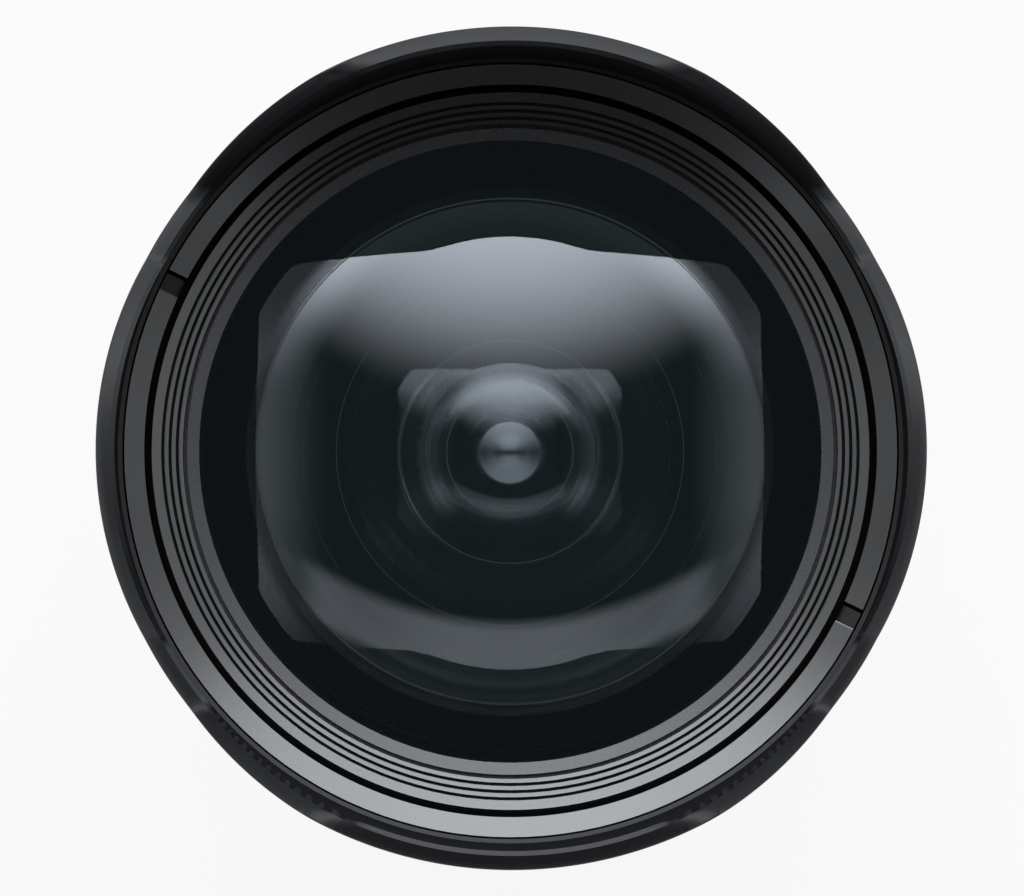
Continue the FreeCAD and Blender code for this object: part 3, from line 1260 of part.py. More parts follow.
def drive_slot():
    """Cutter for one curved slot of the drive ring, along the drive pin's path."""
    half_width = IRIS_PIN_RADIUS + IRIS_PIN_FIT
    path = Part.Arc(drive_slot_point(0), drive_slot_point(0.5), drive_slot_point(1)).toShape()
    centre = path.Curve.Center
    radius = path.Curve.Radius
    ends = (drive_slot_point(0), drive_slot_point(0.5), drive_slot_point(1))

    def offset_point(point, distance):
        direction = point - centre
        direction.normalize()
        return centre + direction * distance

    outer = [offset_point(point, radius + half_width) for point in ends]
    inner = [offset_point(point, radius - half_width) for point in ends]
    outline = Part.Wire([
        Part.Arc(outer[0], outer[1], outer[2]).toShape(),
        Part.makeLine(outer[2], inner[2]),
        Part.Arc(inner[2], inner[1], inner[0]).toShape(),
        Part.makeLine(inner[0], outer[0]),
    ])
    slot = Part.Face(outline).extrude(Vector(0, 0, IRIS_RING_THICKNESS))
    for point in (ends[0], ends[2]):
        slot = slot.fuse(cylinder(half_width, 0, IRIS_RING_THICKNESS, point.x, point.y))
    slot.translate(Vector(0, 0, IRIS_RING_Z))
    return slot


def iris_ring():
    """Drive ring whose curved slots swing all blades together."""
    ring = tube(IRIS_RING_RADIUS, IRIS_RING_BORE, IRIS_RING_Z, IRIS_RING_Z + IRIS_RING_THICKNESS)
    for cutter in turned_copies(drive_slot(), IRIS_BLADE_COUNT):
        ring = ring.cut(cutter)
    return ring


def iris_blade(index):
    """One crescent blade in its own plane, with its pivot pin below and its drive pin above."""
    plane_z = IRIS_BLADE_Z + index * IRIS_BLADE_PITCH
    top_z = plane_z + IRIS_BLADE_THICKNESS
    crescent = sector(IRIS_BLADE_IN, IRIS_BLADE_OUT, plane_z, top_z, IRIS_BLADE_SPAN / 2, IRIS_BLADE_SPAN)
    pivot = polar(IRIS_PIVOT_RADIUS, 0)
    drive = polar(IRIS_PIVOT_RADIUS, IRIS_DRIVE_ANGLE)
    root = polar((IRIS_BLADE_IN + IRIS_BLADE_OUT) / 2, IRIS_ROOT_ANGLE)
    blade = crescent
    for place in (pivot, drive, root):
        blade = blade.fuse(cylinder(IRIS_EAR_RADIUS, plane_z, top_z, place.x, place.y))
    blade = blade.fuse(flat_link(pivot, drive, IRIS_EAR_RADIUS, plane_z))
    blade = blade.fuse(flat_link(pivot, root, IRIS_EAR_RADIUS, plane_z))
    pin_z = IRIS_Z + IRIS_PIN_FLOOR + IRIS_PIN_END_GAP
    blade = blade.fuse(cylinder(IRIS_PIN_RADIUS, pin_z, top_z, pivot.x, pivot.y))
    drive_top = IRIS_RING_Z + IRIS_RING_THICKNESS - IRIS_BLADE_PITCH / 2
    blade = blade.fuse(cylinder(IRIS_PIN_RADIUS, plane_z, drive_top, drive.x, drive.y))
    blade.rotate(ORIGIN, Z_AXIS, iris_pivot_angles()[index])
    return blade.removeSplitter()


def flat_link(start, end, half_width, bottom):
    """Flat strip of blade metal between two round ears."""
    along = end - start
    along.normalize()
    side = Vector(-along.y, along.x, 0) * half_width
    corners = [start + side, start - side, end - side, end + side]
    strip = Part.Face(Part.makePolygon(corners + corners[:1])).extrude(Vector(0, 0, IRIS_BLADE_THICKNESS))
    strip.translate(Vector(0, 0, bottom))
    return strip


def iris_cover():
    """Thin cover over the drive ring."""
    return tube(IRIS_RADIUS, IRIS_OPEN_RADIUS, IRIS_COVER_Z, IRIS_COVER_Z + IRIS_COVER_THICKNESS)


def iris_motor():
    """Small stepping motor under the variator's flange."""
    circle = (IRIS_RADIUS + VARIATOR_FLANGE_RADIUS) / 2
    top = VARIATOR_CELL_END_Z - VARIATOR_FLANGE
    return upright_at(IRIS_MOTOR_RADIUS, circle, IRIS_MOTOR_ANGLE, top - IRIS_MOTOR_LENGTH, top)


def focus_carriage():
    """Carriage of the focusing glass: ring, two rod bosses and the nut boss on arms."""
    bore = FOCUS_GLASS_RIM + SEAT_FIT
    top = FOCUS_Z + FOCUS_CARRIAGE_LENGTH
    body = cylinder(bore + FOCUS_CARRIAGE_WALL, FOCUS_Z, top)
    bosses = [(angle, ROD_BOSS_RADIUS) for angle in ROD_ANGLES] + [(0.0, NUT_BOSS_RADIUS)]
    for angle, boss_radius in bosses:
        arm_corner = Vector(0, -boss_radius / 2, FOCUS_Z)
        arm = Part.makeBox(ROD_CIRCLE, boss_radius, FOCUS_CARRIAGE_LENGTH, arm_corner)
        arm.rotate(ORIGIN, Z_AXIS, angle)
        body = body.fuse(arm).fuse(upright_at(boss_radius, ROD_CIRCLE, angle, FOCUS_Z, top))
    body = body.cut(cylinder(bore, FOCUS_Z, top))
    for angle in ROD_ANGLES:
        body = body.cut(upright_at(ROD_RADIUS + RUNNING_FIT, ROD_CIRCLE, angle, FOCUS_Z, top))
    return body.cut(upright_at(SCREW_ROD_RADIUS + RUNNING_FIT, ROD_CIRCLE, 0, FOCUS_Z, top))


def focus_element():
    """Focusing glass."""
    front_z = FOCUS_Z + (FOCUS_CARRIAGE_LENGTH + FOCUS_GLASS_THICKNESS) / 2
    return glass(
        FOCUS_GLASS_RIM,
        (front_z, FOCUS_GLASS_RADIUS),
        FOCUS_GLASS_REAR_CLEAR,
        (front_z - FOCUS_GLASS_THICKNESS, FOCUS_GLASS_REAR_RADIUS),
        FOCUS_GLASS_REAR_CLEAR,
    )


def focus_rods():
    """Two guide rods between the guide tube's flange and the front plate."""
    top = FOCUS_PLATE_Z + FOCUS_PLATE_THICKNESS
    return [upright_at(ROD_RADIUS, ROD_CIRCLE, angle, GUIDE_Z, top) for angle in ROD_ANGLES]


def focus_front_plate():
    """Ring plate in the guide tube that holds the front ends of the rods and of the screw."""
    top = FOCUS_PLATE_Z + FOCUS_PLATE_THICKNESS
    plate = tube(GUIDE_BORE - SEAT_FIT, FOCUS_PLATE_BORE, FOCUS_PLATE_Z, top)
    for angle in ROD_ANGLES:
        plate = plate.cut(upright_at(ROD_RADIUS + SEAT_FIT, ROD_CIRCLE, angle, FOCUS_PLATE_Z, top))
    return plate.cut(upright_at(SCREW_ROD_RADIUS + RUNNING_FIT, ROD_CIRCLE, 0, FOCUS_PLATE_Z, top))


def lead_screw():
    """Motor screw that moves the focus carriage."""
    top = FOCUS_PLATE_Z + FOCUS_PLATE_THICKNESS
    return upright_at(SCREW_ROD_RADIUS, ROD_CIRCLE, 0, GUIDE_Z - FOCUS_MOTOR_LENGTH / 2, top)


def focus_motor():
    """Stepping motor behind the guide tube's flange."""
    bottom = GUIDE_Z - FOCUS_MOTOR_LENGTH
    body = upright_at(FOCUS_MOTOR_RADIUS, ROD_CIRCLE, 0, bottom, GUIDE_Z)
    bore_bottom = GUIDE_Z - FOCUS_MOTOR_LENGTH / 2 - RING_GAP
    return body.cut(upright_at(SCREW_ROD_RADIUS + RUNNING_FIT, ROD_CIRCLE, 0, bore_bottom, GUIDE_Z))


def rear_group_cell():
    """Fixed cell of the rear group, hung from the guide tube's flange."""
    bottom = BAFFLE_THICKNESS + REAR_CELL_GAP
    flange_z = GUIDE_Z - REAR_CELL_FLANGE
    flange_radius = ROD_CIRCLE - FOCUS_MOTOR_RADIUS - RING_GAP
    bore_7 = GLASS_7_RIM + SEAT_FIT
    bore_8 = GLASS_8_RIM + SEAT_FIT
    shoulder_z = rear_glass_seat_z()
    front_z = GUIDE_FLOOR_Z
    return turned([
        (bore_8, bottom),
        (REAR_CELL_RADIUS, bottom),
        (REAR_CELL_RADIUS, flange_z),
        (flange_radius, flange_z),
        (flange_radius, GUIDE_Z),
        (REAR_CELL_RADIUS, GUIDE_Z),
        (REAR_CELL_RADIUS, front_z),
        (bore_7, front_z),
        (bore_7, shoulder_z),
        (bore_8, shoulder_z),
    ])


def rear_glass_seat_z():
    """Height of the shoulder between the two bores of the rear cell."""
    rear_z = GUIDE_FLOOR_Z - GLASS_7_SETBACK - GLASS_7_THICKNESS
    return surface_height(rear_z, -GLASS_7_REAR_RADIUS, GLASS_7_RIM - CELL_LEDGE)


def element_7():
    """Seventh glass, in the front of the rear cell."""
    front_z = GUIDE_FLOOR_Z - GLASS_7_SETBACK
    return glass(
        GLASS_7_RIM,
        (front_z, GLASS_7_RADIUS),
        GLASS_7_RIM - CELL_LEDGE,
        (front_z - GLASS_7_THICKNESS, -GLASS_7_REAR_RADIUS),
        GLASS_7_RIM - CELL_LEDGE,
    )


def element_8():
    """Eighth glass, the last one, seen from the camera end."""
    rear_z = BAFFLE_THICKNESS + REAR_CELL_GAP + GLASS_8_SETBACK
    return glass(
        GLASS_8_RIM,
        (rear_z + GLASS_8_THICKNESS, -GLASS_8_RADIUS),
        GLASS_8_RIM - CELL_LEDGE,
        (rear_z, -GLASS_8_REAR_RADIUS),
        GLASS_8_RIM - CELL_LEDGE,
    )


def circuit_board():
    """Ring-shaped circuit board behind the rear barrel's ledge."""
    outer = REAR_END_RADIUS - REAR_WALL - SEAT_FIT
    inner = REAR_CELL_RADIUS + 2 * FREE_GAP
    return tube(outer, inner, BOARD_Z, BOARD_Z + BOARD_THICKNESS)


def flex_cable():
    """Flat cable from the circuit board down to the contact block."""
    inner = REAR_CELL_RADIUS + FREE_GAP
    outer = inner + CABLE_THICKNESS
    foot = BOARD_Z - CABLE_THICKNESS
    cable = turned([
        (inner, 0),
        (outer, 0),
        (outer, foot),
        (outer + CABLE_FOOT_LENGTH, foot),
        (outer + CABLE_FOOT_LENGTH, BOARD_Z),
        (inner, BOARD_Z),
    ], CABLE_ANGLE)
    cable.rotate(ORIGIN, Z_AXIS, CONTACT_CENTRE_ANGLE - CABLE_ANGLE / 2)
    return cable


def build():
    """Write every node."""
    os.makedirs("parts", exist_ok=True)
    export("mount_bayonet", mount_bayonet())
    export("mount_screws", mount_screws())
    export("mount_seal", mount_seal())
    export("contact_block", contact_block())
    export("contact_pins", contact_holes(CONTACT_RADIUS))
    export("rear_baffle", rear_baffle())
    export("rear_barrel", rear_barrel())
    export("frame_screws", frame_screws())
    export("main_sleeve", main_sleeve())
    export("guide_tube", guide_tube())
    export("cam_retaining_ring", cam_retaining_ring())
    export("cam_tube", cam_tube())
    export("zoom_key", zoom_key())
    export("zoom_ring", zoom_ring())
    export("zoom_grip", zoom_grip())
    export("mid_barrel", mid_barrel())
    export("focus_mode_switch", focus_mode_switch())
    export("focus_hold_button", focus_hold_button())
    export("front_barrel", front_barrel())
    export("front_bezel", front_bezel())
    export("focus_ring", focus_ring())
    export("focus_grip", focus_grip())
    export("lens_hood", lens_hood())
    export("front_group_barrel", front_group_barrel())
    export("front_retaining_ring", front_retaining_ring())
    export("front_element", front_element())
    export("element_2", element_2())
    export("element_3", element_3())
    export("element_4", element_4())
    export("inner_retaining_ring", inner_retaining_ring())
    export("front_group_rollers", cam_rollers(FRONT_ROLLER_ANGLE, FRONT_ROLLER_Z, SKIRT_BORE))
    export("variator_carriage", variator_carriage())
    variator_stud = SLIDE_RADIUS - VARIATOR_RIM_WALL
    export("variator_rollers", cam_rollers(VARIATOR_ROLLER_ANGLE, VARIATOR_ROLLER_Z, variator_stud))
    export("element_5", element_5())
    export("element_6", element_6())
    export("iris_base", iris_base())
    export("iris_ring", iris_ring())
    export("iris_cover", iris_cover())
    export("iris_motor", iris_motor())
    for index in range(IRIS_BLADE_COUNT):
        export("iris_blade_" + str(index + 1), iris_blade(index))
    export("focus_carriage", focus_carriage())
    export("focus_element", focus_element())
    export("focus_rods", focus_rods())
    export("focus_front_plate", focus_front_plate())
    export("lead_screw", lead_screw())
    export("focus_motor", focus_motor())
    export("rear_group_cell", rear_group_cell())
    export("element_7", element_7())
    export("element_8", element_8())
    export("circuit_board", circuit_board())
    export("flex_cable", flex_cable())


build()
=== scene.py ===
"""Looks of a wide-angle zoom lens with a petal hood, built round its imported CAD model.

The lens stands on its bayonet with the front glass up, and the camera looks down the optical axis.
Sizes are in millimetres in the classes, and turned to metres where a mesh is made.
"""

from __future__ import annotations

import json
import logging
import math
from dataclasses import dataclass
from enum import Enum
from typing import Any, Sequence

import bmesh
import bpy
import numpy as np
from bpy.types import ID, Material, Mesh, Node, NodeSocket, NodeTree, Object, World
from mathutils import Matrix, Vector

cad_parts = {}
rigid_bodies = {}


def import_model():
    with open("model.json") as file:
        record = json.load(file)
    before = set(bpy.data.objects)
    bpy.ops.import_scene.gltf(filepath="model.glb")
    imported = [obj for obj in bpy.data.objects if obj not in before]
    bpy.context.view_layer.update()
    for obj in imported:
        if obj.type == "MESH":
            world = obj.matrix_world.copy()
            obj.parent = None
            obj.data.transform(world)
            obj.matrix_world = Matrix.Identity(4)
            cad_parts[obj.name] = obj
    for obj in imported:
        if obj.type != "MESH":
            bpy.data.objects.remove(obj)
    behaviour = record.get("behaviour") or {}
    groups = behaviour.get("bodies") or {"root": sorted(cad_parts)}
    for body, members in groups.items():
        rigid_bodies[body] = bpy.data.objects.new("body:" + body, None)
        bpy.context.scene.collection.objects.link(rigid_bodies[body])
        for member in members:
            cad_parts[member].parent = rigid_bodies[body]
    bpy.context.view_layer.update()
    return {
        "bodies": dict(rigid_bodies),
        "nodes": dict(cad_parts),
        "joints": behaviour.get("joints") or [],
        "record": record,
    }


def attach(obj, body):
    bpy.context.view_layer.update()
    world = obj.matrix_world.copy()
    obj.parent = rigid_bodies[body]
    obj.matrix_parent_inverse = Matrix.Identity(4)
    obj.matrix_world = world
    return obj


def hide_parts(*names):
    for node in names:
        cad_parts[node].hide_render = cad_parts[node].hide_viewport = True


LOG = logging.getLogger("lens")
MM = 0.001
SMOOTH_ANGLE = math.radians(32)
GLASS_SMOOTH_ANGLE = math.radians(8)
FINE_MERGE_MM = 0.0005
BREAK_SHARE = 0.45
LIGHT_WAYS = ("ADD", "MULTIPLY", "MAXIMUM")


def linear(code: str) -> tuple[float, float, float, float]:
    """Turns an sRGB hex colour into linear light.

    Args:
        code: colour as #RRGGBB.

    Returns:
        Linear red, green and blue, and an alpha of 1.
    """
    value = np.array([int(code[i : i + 2], 16) for i in (1, 3, 5)]) / 255
    light = np.where(value <= 0.04045, value / 12.92, ((value + 0.055) / 1.055) ** 2.4)
    return (float(light[0]), float(light[1]), float(light[2]), 1.0)


def add_node(tree: NodeTree, kind: str, inputs: dict[Any, Any] | None = None, **settings: Any) -> Node:
    """Adds a shader node, sets its options and fills its inputs.

    Args:
        tree: node tree that gets the node.
        kind: Blender's node type without its ShaderNode start.
        inputs: by name or place, a value, a socket to link or a node whose first output is linked.
        settings: options by attribute name.

    Returns:
        The new node.
    """
    node = tree.nodes.new("ShaderNode" + kind)
    for key, value in settings.items():
        setattr(node, key, value)
    for key, value in (inputs or {}).items():
        source = value.outputs[0] if isinstance(value, Node) else value
        if isinstance(source, NodeSocket):
            tree.links.new(source, node.inputs[key])
        else:
            node.inputs[key].default_value = source
    return node


def blank_tree(holder: Material | World) -> NodeTree:
    """Turns on the nodes of a material or a world.

    Args:
        holder: the material or world.

    Returns:
        Its emptied tree.
    """
    holder.use_nodes = True
    holder.node_tree.nodes.clear()
    return holder.node_tree


@dataclass(frozen=True)
class Fade:
    """Smooth step of a strength along one measure: low up to start, and high from end on."""

    along: str
    start: float
    end: float
    low: float = 0.0
    high: float = 1.0


def measures(tree: NodeTree, place: NodeSocket, nearest: float) -> dict[str, Any]:
    """Adds the nodes that measure a place or a direction about the optical axis.

    Args:
        tree: node tree that gets the nodes.
        place: the place or direction.
        nearest: least distance from the axis, which the turn's quotient needs.

    Returns:
        x, y and z; aside, which is x without its sign; off_axis, the distance from the axis; and
        turn, which is y through off_axis: 1 straight up, 0 at the sides and -1 straight down.
    """
    x, y, z = add_node(tree, "SeparateXYZ", {0: place}).outputs
    flat = add_node(tree, "VectorMath", {0: place, 1: (1.0, 1.0, 0.0)}, operation="MULTIPLY")
    length = add_node(tree, "VectorMath", {0: flat}, operation="LENGTH").outputs["Value"]
    off_axis = add_node(tree, "Math", {0: length, 1: nearest}, operation="MAXIMUM")
    aside = add_node(tree, "Math", {0: x}, operation="ABSOLUTE")
    turn = add_node(tree, "Math", {0: y, 1: off_axis}, operation="DIVIDE")
    return {"x": x, "y": y, "z": z, "aside": aside, "off_axis": off_axis, "turn": turn}


def strength(tree: NodeTree, measured: dict[str, Any], part: Any, ways: Sequence[str] = LIGHT_WAYS) -> Any:
    """Adds the nodes of a light: a sum of products, where each factor is the largest of its fades.

    Args:
        tree: node tree that gets the nodes.
        measured: nodes or sockets of the measures, by name.
        part: nested tuples of fades, nodes and plain numbers.
        ways: how a tuple's parts are joined, at this depth and below it.

    Returns:
        The node, socket or number of the part's strength.
    """
    if isinstance(part, Fade):
        step = {"Value": measured[part.along], 1: part.start, 2: part.end, 3: part.low, 4: part.high}
        return add_node(tree, "MapRange", step, interpolation_type="SMOOTHSTEP")
    if not isinstance(part, tuple):
        return part
    total, *others = (strength(tree, measured, each, ways[1:]) for each in part)
    for other in others:
        total = add_node(tree, "Math", {0: total, 1: other}, operation=ways[0])
    return total


class Making(Enum):
    """How a surface was made, with the texture node that draws its pattern, its options and inputs."""

    MOULDED = ("TexNoise", {}, {"Detail": 4.0, "Roughness": 0.6})
    BLASTED = ("TexNoise", {}, {"Detail": 2.0, "Roughness": 0.6})
    TURNED = ("TexNoise", {"noise_dimensions": "1D"}, {"Detail": 2.0})
    GROUND = ("TexNoise", {}, {"Detail": 2.0})
    FLOCKED = ("TexVoronoi", {"feature": "SMOOTH_F1"}, {})
    PRINTED = ("TexNoise", {}, {"Detail": 1.0})


@dataclass(frozen=True)
class Finish:
    """Finish of one real material: its two close colours, its gloss and its surface pattern.

    grain_mm is the size of one grain, tool line or fibre, drawn coarser than the real one where that
    is too fine to show, depth_mm is its depth, and cloud_mm the size of the two colours' patches.
    """

    name: str
    colour: str
    shade: str
    making: Making
    roughness: float
    grain_mm: float = 0.3
    depth_mm: float = 0.004
    metallic: float = 0.0
    ior: float = 1.5
    spread: float = 0.06
    cloud_mm: float = 12.0
    sheen: float = 0.0
    specular: float = 0.5

    def fill(self, tree: NodeTree) -> None:
        """Fills the material's empty tree. A metal keeps the default IOR.

        Args:
            tree: node tree of the material.
        """
        place = add_node(tree, "TexCoord").outputs["Object"]
        grain = self._grain(tree, place)
        patches = {"Vector": place, "Scale": 1 / (self.cloud_mm * MM), "Detail": 3.0}
        cloud = add_node(tree, "TexNoise", patches)
        colours = {"Factor": cloud, 6: linear(self.colour), 7: linear(self.shade)}
        gloss = {"Value": grain, 3: self.roughness - self.spread, 4: self.roughness + self.spread}
        relief = {"Height": grain, "Distance": self.depth_mm * MM, "Strength": 1.0}
        inputs = {
            "Base Color": add_node(tree, "Mix", colours, data_type="RGBA").outputs[2],
            "Roughness": add_node(tree, "MapRange", gloss),
            "Normal": add_node(tree, "Bump", relief),
            "Metallic": self.metallic,
            "Sheen Weight": self.sheen,
            "Specular IOR Level": self.specular,
        }
        if self.metallic == 0:
            inputs["IOR"] = self.ior
        add_node(tree, "OutputMaterial", {"Surface": add_node(tree, "BsdfPrincipled", inputs)})

    def _grain(self, tree: NodeTree, place: NodeSocket) -> Node:
        """Adds the fine pattern that the making leaves.

        Tool lines run round the axis, because they depend on the radius plus the height alone, and
        a ground pattern is drawn out along the axis.

        Args:
            tree: node tree of the material.
            place: object coordinates.

        Returns:
            The node whose first output is the pattern's value, about 0 to 1.
        """
        kind, settings, inputs = self.making.value
        read = {"Vector": place}
        if self.making is Making.TURNED:
            about = measures(tree, place, 0.0)
            read = {"W": add_node(tree, "Math", {0: about["off_axis"], 1: about["z"]}, operation="ADD")}
        elif self.making is Making.GROUND:
            read = {"Vector": add_node(tree, "Mapping", {"Vector": place, "Scale": (1.0, 1.0, 0.05)})}
        return add_node(tree, kind, {**read, "Scale": 1 / (self.grain_mm * MM), **inputs}, **settings)


@dataclass(frozen=True)
class StrayLight:
    """Glow painted on a glass surface for light scattered in the barrel: its strength up, aside and down.

    It grows from nothing at start_mm from the axis to its full strength at end_mm.
    """

    top: float
    side: float
    low: float
    start_mm: float
    end_mm: float

    def patches(self) -> tuple[tuple[Fade, Fade], ...]:
        """Painted glow from the sides up, and what the lower half has more, or less, than the sides.

        Returns:
            Two products for the strength's sum.
        """
        grown = Fade("off_axis", self.start_mm * MM, self.end_mm * MM)
        upper = Fade("turn", 0.0, 1.0, self.side, self.top)
        lower = Fade("turn", 0.0, -1.0, 0.0, self.low - self.side)
        return (upper, grown), (lower, grown)


@dataclass(frozen=True)
class CoatedGlass:
    """Optical glass with a hard antireflection coat that tints what it mirrors.

    side_mirror is the tint at the sides, where it differs from that straight up and down: a darker
    tint there paints shade into what the glass mirrors. glare is a faint even glow that the surface
    gives off, painted light, though the glass is no lamp.
    """

    name: str
    body: str
    mirror: str
    ior: float
    glare: float = 0.0
    glare_tint: str = "#8FB3BA"
    roughness: float = 0.0
    stray: StrayLight | None = None
    side_mirror: str = ""
    film: str = "#F4F6F8"
    film_scale: float = 60.0
    nearest_mm: float = 0.01

    def fill(self, tree: NodeTree) -> None:
        """Fills the material's empty tree: the tint, the painted glow and the glass itself.

        Args:
            tree: node tree of the material.
        """
        place = add_node(tree, "TexCoord").outputs["Object"]
        film = add_node(tree, "TexNoise", {"Vector": place, "Scale": self.film_scale, "Detail": 1.0})
        tints = {"Factor": film, 6: linear(self.body), 7: linear(self.film)}
        inputs = {
            "Base Color": add_node(tree, "Mix", tints, data_type="RGBA").outputs[2],
            "Roughness": self.roughness,
            "IOR": self.ior,
            "Transmission Weight": 1.0,
            "Specular Tint": linear(self.mirror),
            # Painted glow: an even emission, though the glass is no lamp
            "Emission Color": linear(self.glare_tint),
            "Emission Strength": self.glare,
        }
        # Painted shade: the mirror tint is darker at the sides than straight up and down
        if self.side_mirror:
            about = measures(tree, place, self.nearest_mm * MM)
            upright = strength(tree, about, (Fade("turn", 0.2, 0.6), Fade("turn", -0.2, -0.6)), ("MAXIMUM",))
            tints = {"Factor": upright, 6: linear(self.side_mirror), 7: linear(self.mirror)}
            inputs["Specular Tint"] = add_node(tree, "Mix", tints, data_type="RGBA").outputs[2]
        # Painted glow: emission that grows outwards, with its own strength up, aside and down
        if self.stray is not None:
            about = measures(tree, place, self.nearest_mm * MM)
            inputs["Emission Strength"] = strength(tree, about, (*self.stray.patches(), self.glare))
        add_node(tree, "OutputMaterial", {"Surface": add_node(tree, "BsdfPrincipled", inputs)})


def material_of(finish: Finish | CoatedGlass) -> Material:
    """Gives the node material of a finish, which is made at its first use.

    Args:
        finish: the finish.

    Returns:
        The material.
    """
    material = bpy.data.materials.get(finish.name)
    if material is None:
        material = bpy.data.materials.new(finish.name)
        finish.fill(blank_tree(material))
    return material


# Anodised aluminium: bead-blasted before the dye, so a deep black with a soft satin sheen
BARREL_BLACK = Finish("anodised_blasted_aluminium", "#161618", "#121214", Making.BLASTED, 0.4, 0.25, 0.006)
# Anodised aluminium, finely blasted: smoother, so the slanted front rings mirror the studio light broadly
BEZEL_BLACK = Finish(
    "anodised_smooth_aluminium", "#0E0E0F", "#0B0B0C", Making.BLASTED, 0.14, 0.3, 0.002, ior=1.7,
    specular=0.68, spread=0.03,
)
# Threads, their lead-in and the slots' walls: flat black with no highlight, painted shade in these recesses
SHADE_BLACK = Finish(
    "painted_shade_black", "#040404", "#060606", Making.BLASTED, 0.8, 0.2, 0.002, ior=1.3, specular=0.1
)
# Blackened aluminium of the cells: dark, with a smooth gloss that shows the steps round the glass
CELL_BLACK = Finish(
    "blackened_aluminium", "#0D0F10", "#0B0C0D", Making.BLASTED, 0.15, 0.3, 0.002, ior=1.7, specular=0.72,
    spread=0.03,
)
# The ring that clamps the front glass: blasted coarser, so it glows more evenly all round
RETAINER_BLACK = Finish(
    "anodised_coarse_aluminium", "#434345", "#3B3B3D", Making.BLASTED, 0.27, 0.3, 0.0015, specular=0.7,
    spread=0.04,
)
# Floor of the spanner slots: milled after the blasting, dull
SLOT_BLACK = Finish(
    "milled_black_aluminium", "#141415", "#101011", Making.TURNED, 0.5, 0.2, 0.003, ior=1.45
)
# Glass-filled polycarbonate, moulded in a spark-eroded tool: fine leather-like grain
HOOD_BLACK = Finish("moulded_polycarbonate", "#161618", "#121214", Making.MOULDED, 0.44, 0.35, 0.01)
# Antireflection paint inside the hood: flat, so the ribbed wall stays near black
HOOD_PAINT = Finish(
    "antireflection_paint", "#0D0D0E", "#0A0A0B", Making.BLASTED, 0.7, 0.2, 0.003, ior=1.3, specular=0.35
)
# Thermoplastic rubber: matt, with dust-fine pores
GRIP_RUBBER = Finish(
    "moulded_grip_rubber", "#151515", "#1C1C1C", Making.MOULDED, 0.72, 0.2, 0.012, sheen=0.15
)
# Bright nickel on steel screws: a warm silver with faint turning rings
SCREW_NICKEL = Finish(
    "nickel_plated_steel", "#B9B7B0", "#A5A39C", Making.TURNED, 0.28, 0.1, 0.001, metallic=1.0
)
# Turned brass of the cam tube and rollers: warm, with clear tool rings
CAM_BRASS = Finish("turned_brass", "#B8964E", "#A5833F", Making.TURNED, 0.3, 0.15, 0.002, metallic=1.0)
# Filled engraving paint: matt white with a hint of grey
MARK_WHITE = Finish("engraving_enamel", "#E4E4E0", "#D6D6D2", Making.PRINTED, 0.5)
# Lens makers' edge paint: dull black with a trace of blue-green, so the glass has no bright edge
EDGE_PAINT = Finish("lens_edge_paint", "#1C2526", "#182021", Making.BLASTED, 0.6, 0.3, 0.002)
# Front glass: a hard coat that mirrors the studio, and a faint even painted glow in place of the veil that
# its many surfaces scatter
FRONT_GLASS = CoatedGlass("hard_coated_glass", "#F6F9FB", "#F2F7FF", 1.8, 0.019)
RIM_GLASS = CoatedGlass("multicoated_glass", "#F6F9FB", "#999EA5", 1.8, 0.014, "#9DB0BA")
# Rear of the front lens: a painted glow near its edge, strongest at the top and none at the bottom, shows
# the lens's circle, and a darker mirror tint at its sides paints shade into what it mirrors
REAR_GLASS = CoatedGlass(
    "rear_coated_glass", "#F6F9FB", "#A4A8AE", 1.8, glare_tint="#8FA6AE",
    stray=StrayLight(0.032, 0.008, 0.0, 22.0, 27.0), side_mirror="#4E5054",
)
# Glasses farther in: well coated, so they mirror little; the second one has a darker mirror tint at its
# sides, painted shade in what it mirrors
DEEP_GLASS = CoatedGlass("deep_coated_glass", "#F4F7F8", "#4E5054", 1.7)
INNER_GLASS = CoatedGlass("inner_coated_glass", "#F4F7F8", "#A4A8AE", 1.7, side_mirror="#4E5054")
# Middle of the smallest lens, seen as the pale pupil: a white mirror tint and a painted glow, strong
# straight up and down and faint at the sides
PUPIL_GLASS = CoatedGlass(
    "pupil_glowing_glass", "#F4F7F8", "#FFFFFF", 1.8, 0.02, "#A8B0BA", 0.25,
    StrayLight(0.42, 0.02, 0.34, 0.0, 1.2),
)
# Ground land at a lens's clear edge: clear and smooth here, with a painted glow that shows it as a thin pale
# circle
LAND_GLOW_GLASS = CoatedGlass("glowing_land_glass", "#F4F7F8", "#74777C", 1.7, 0.07, "#A4B0B8")

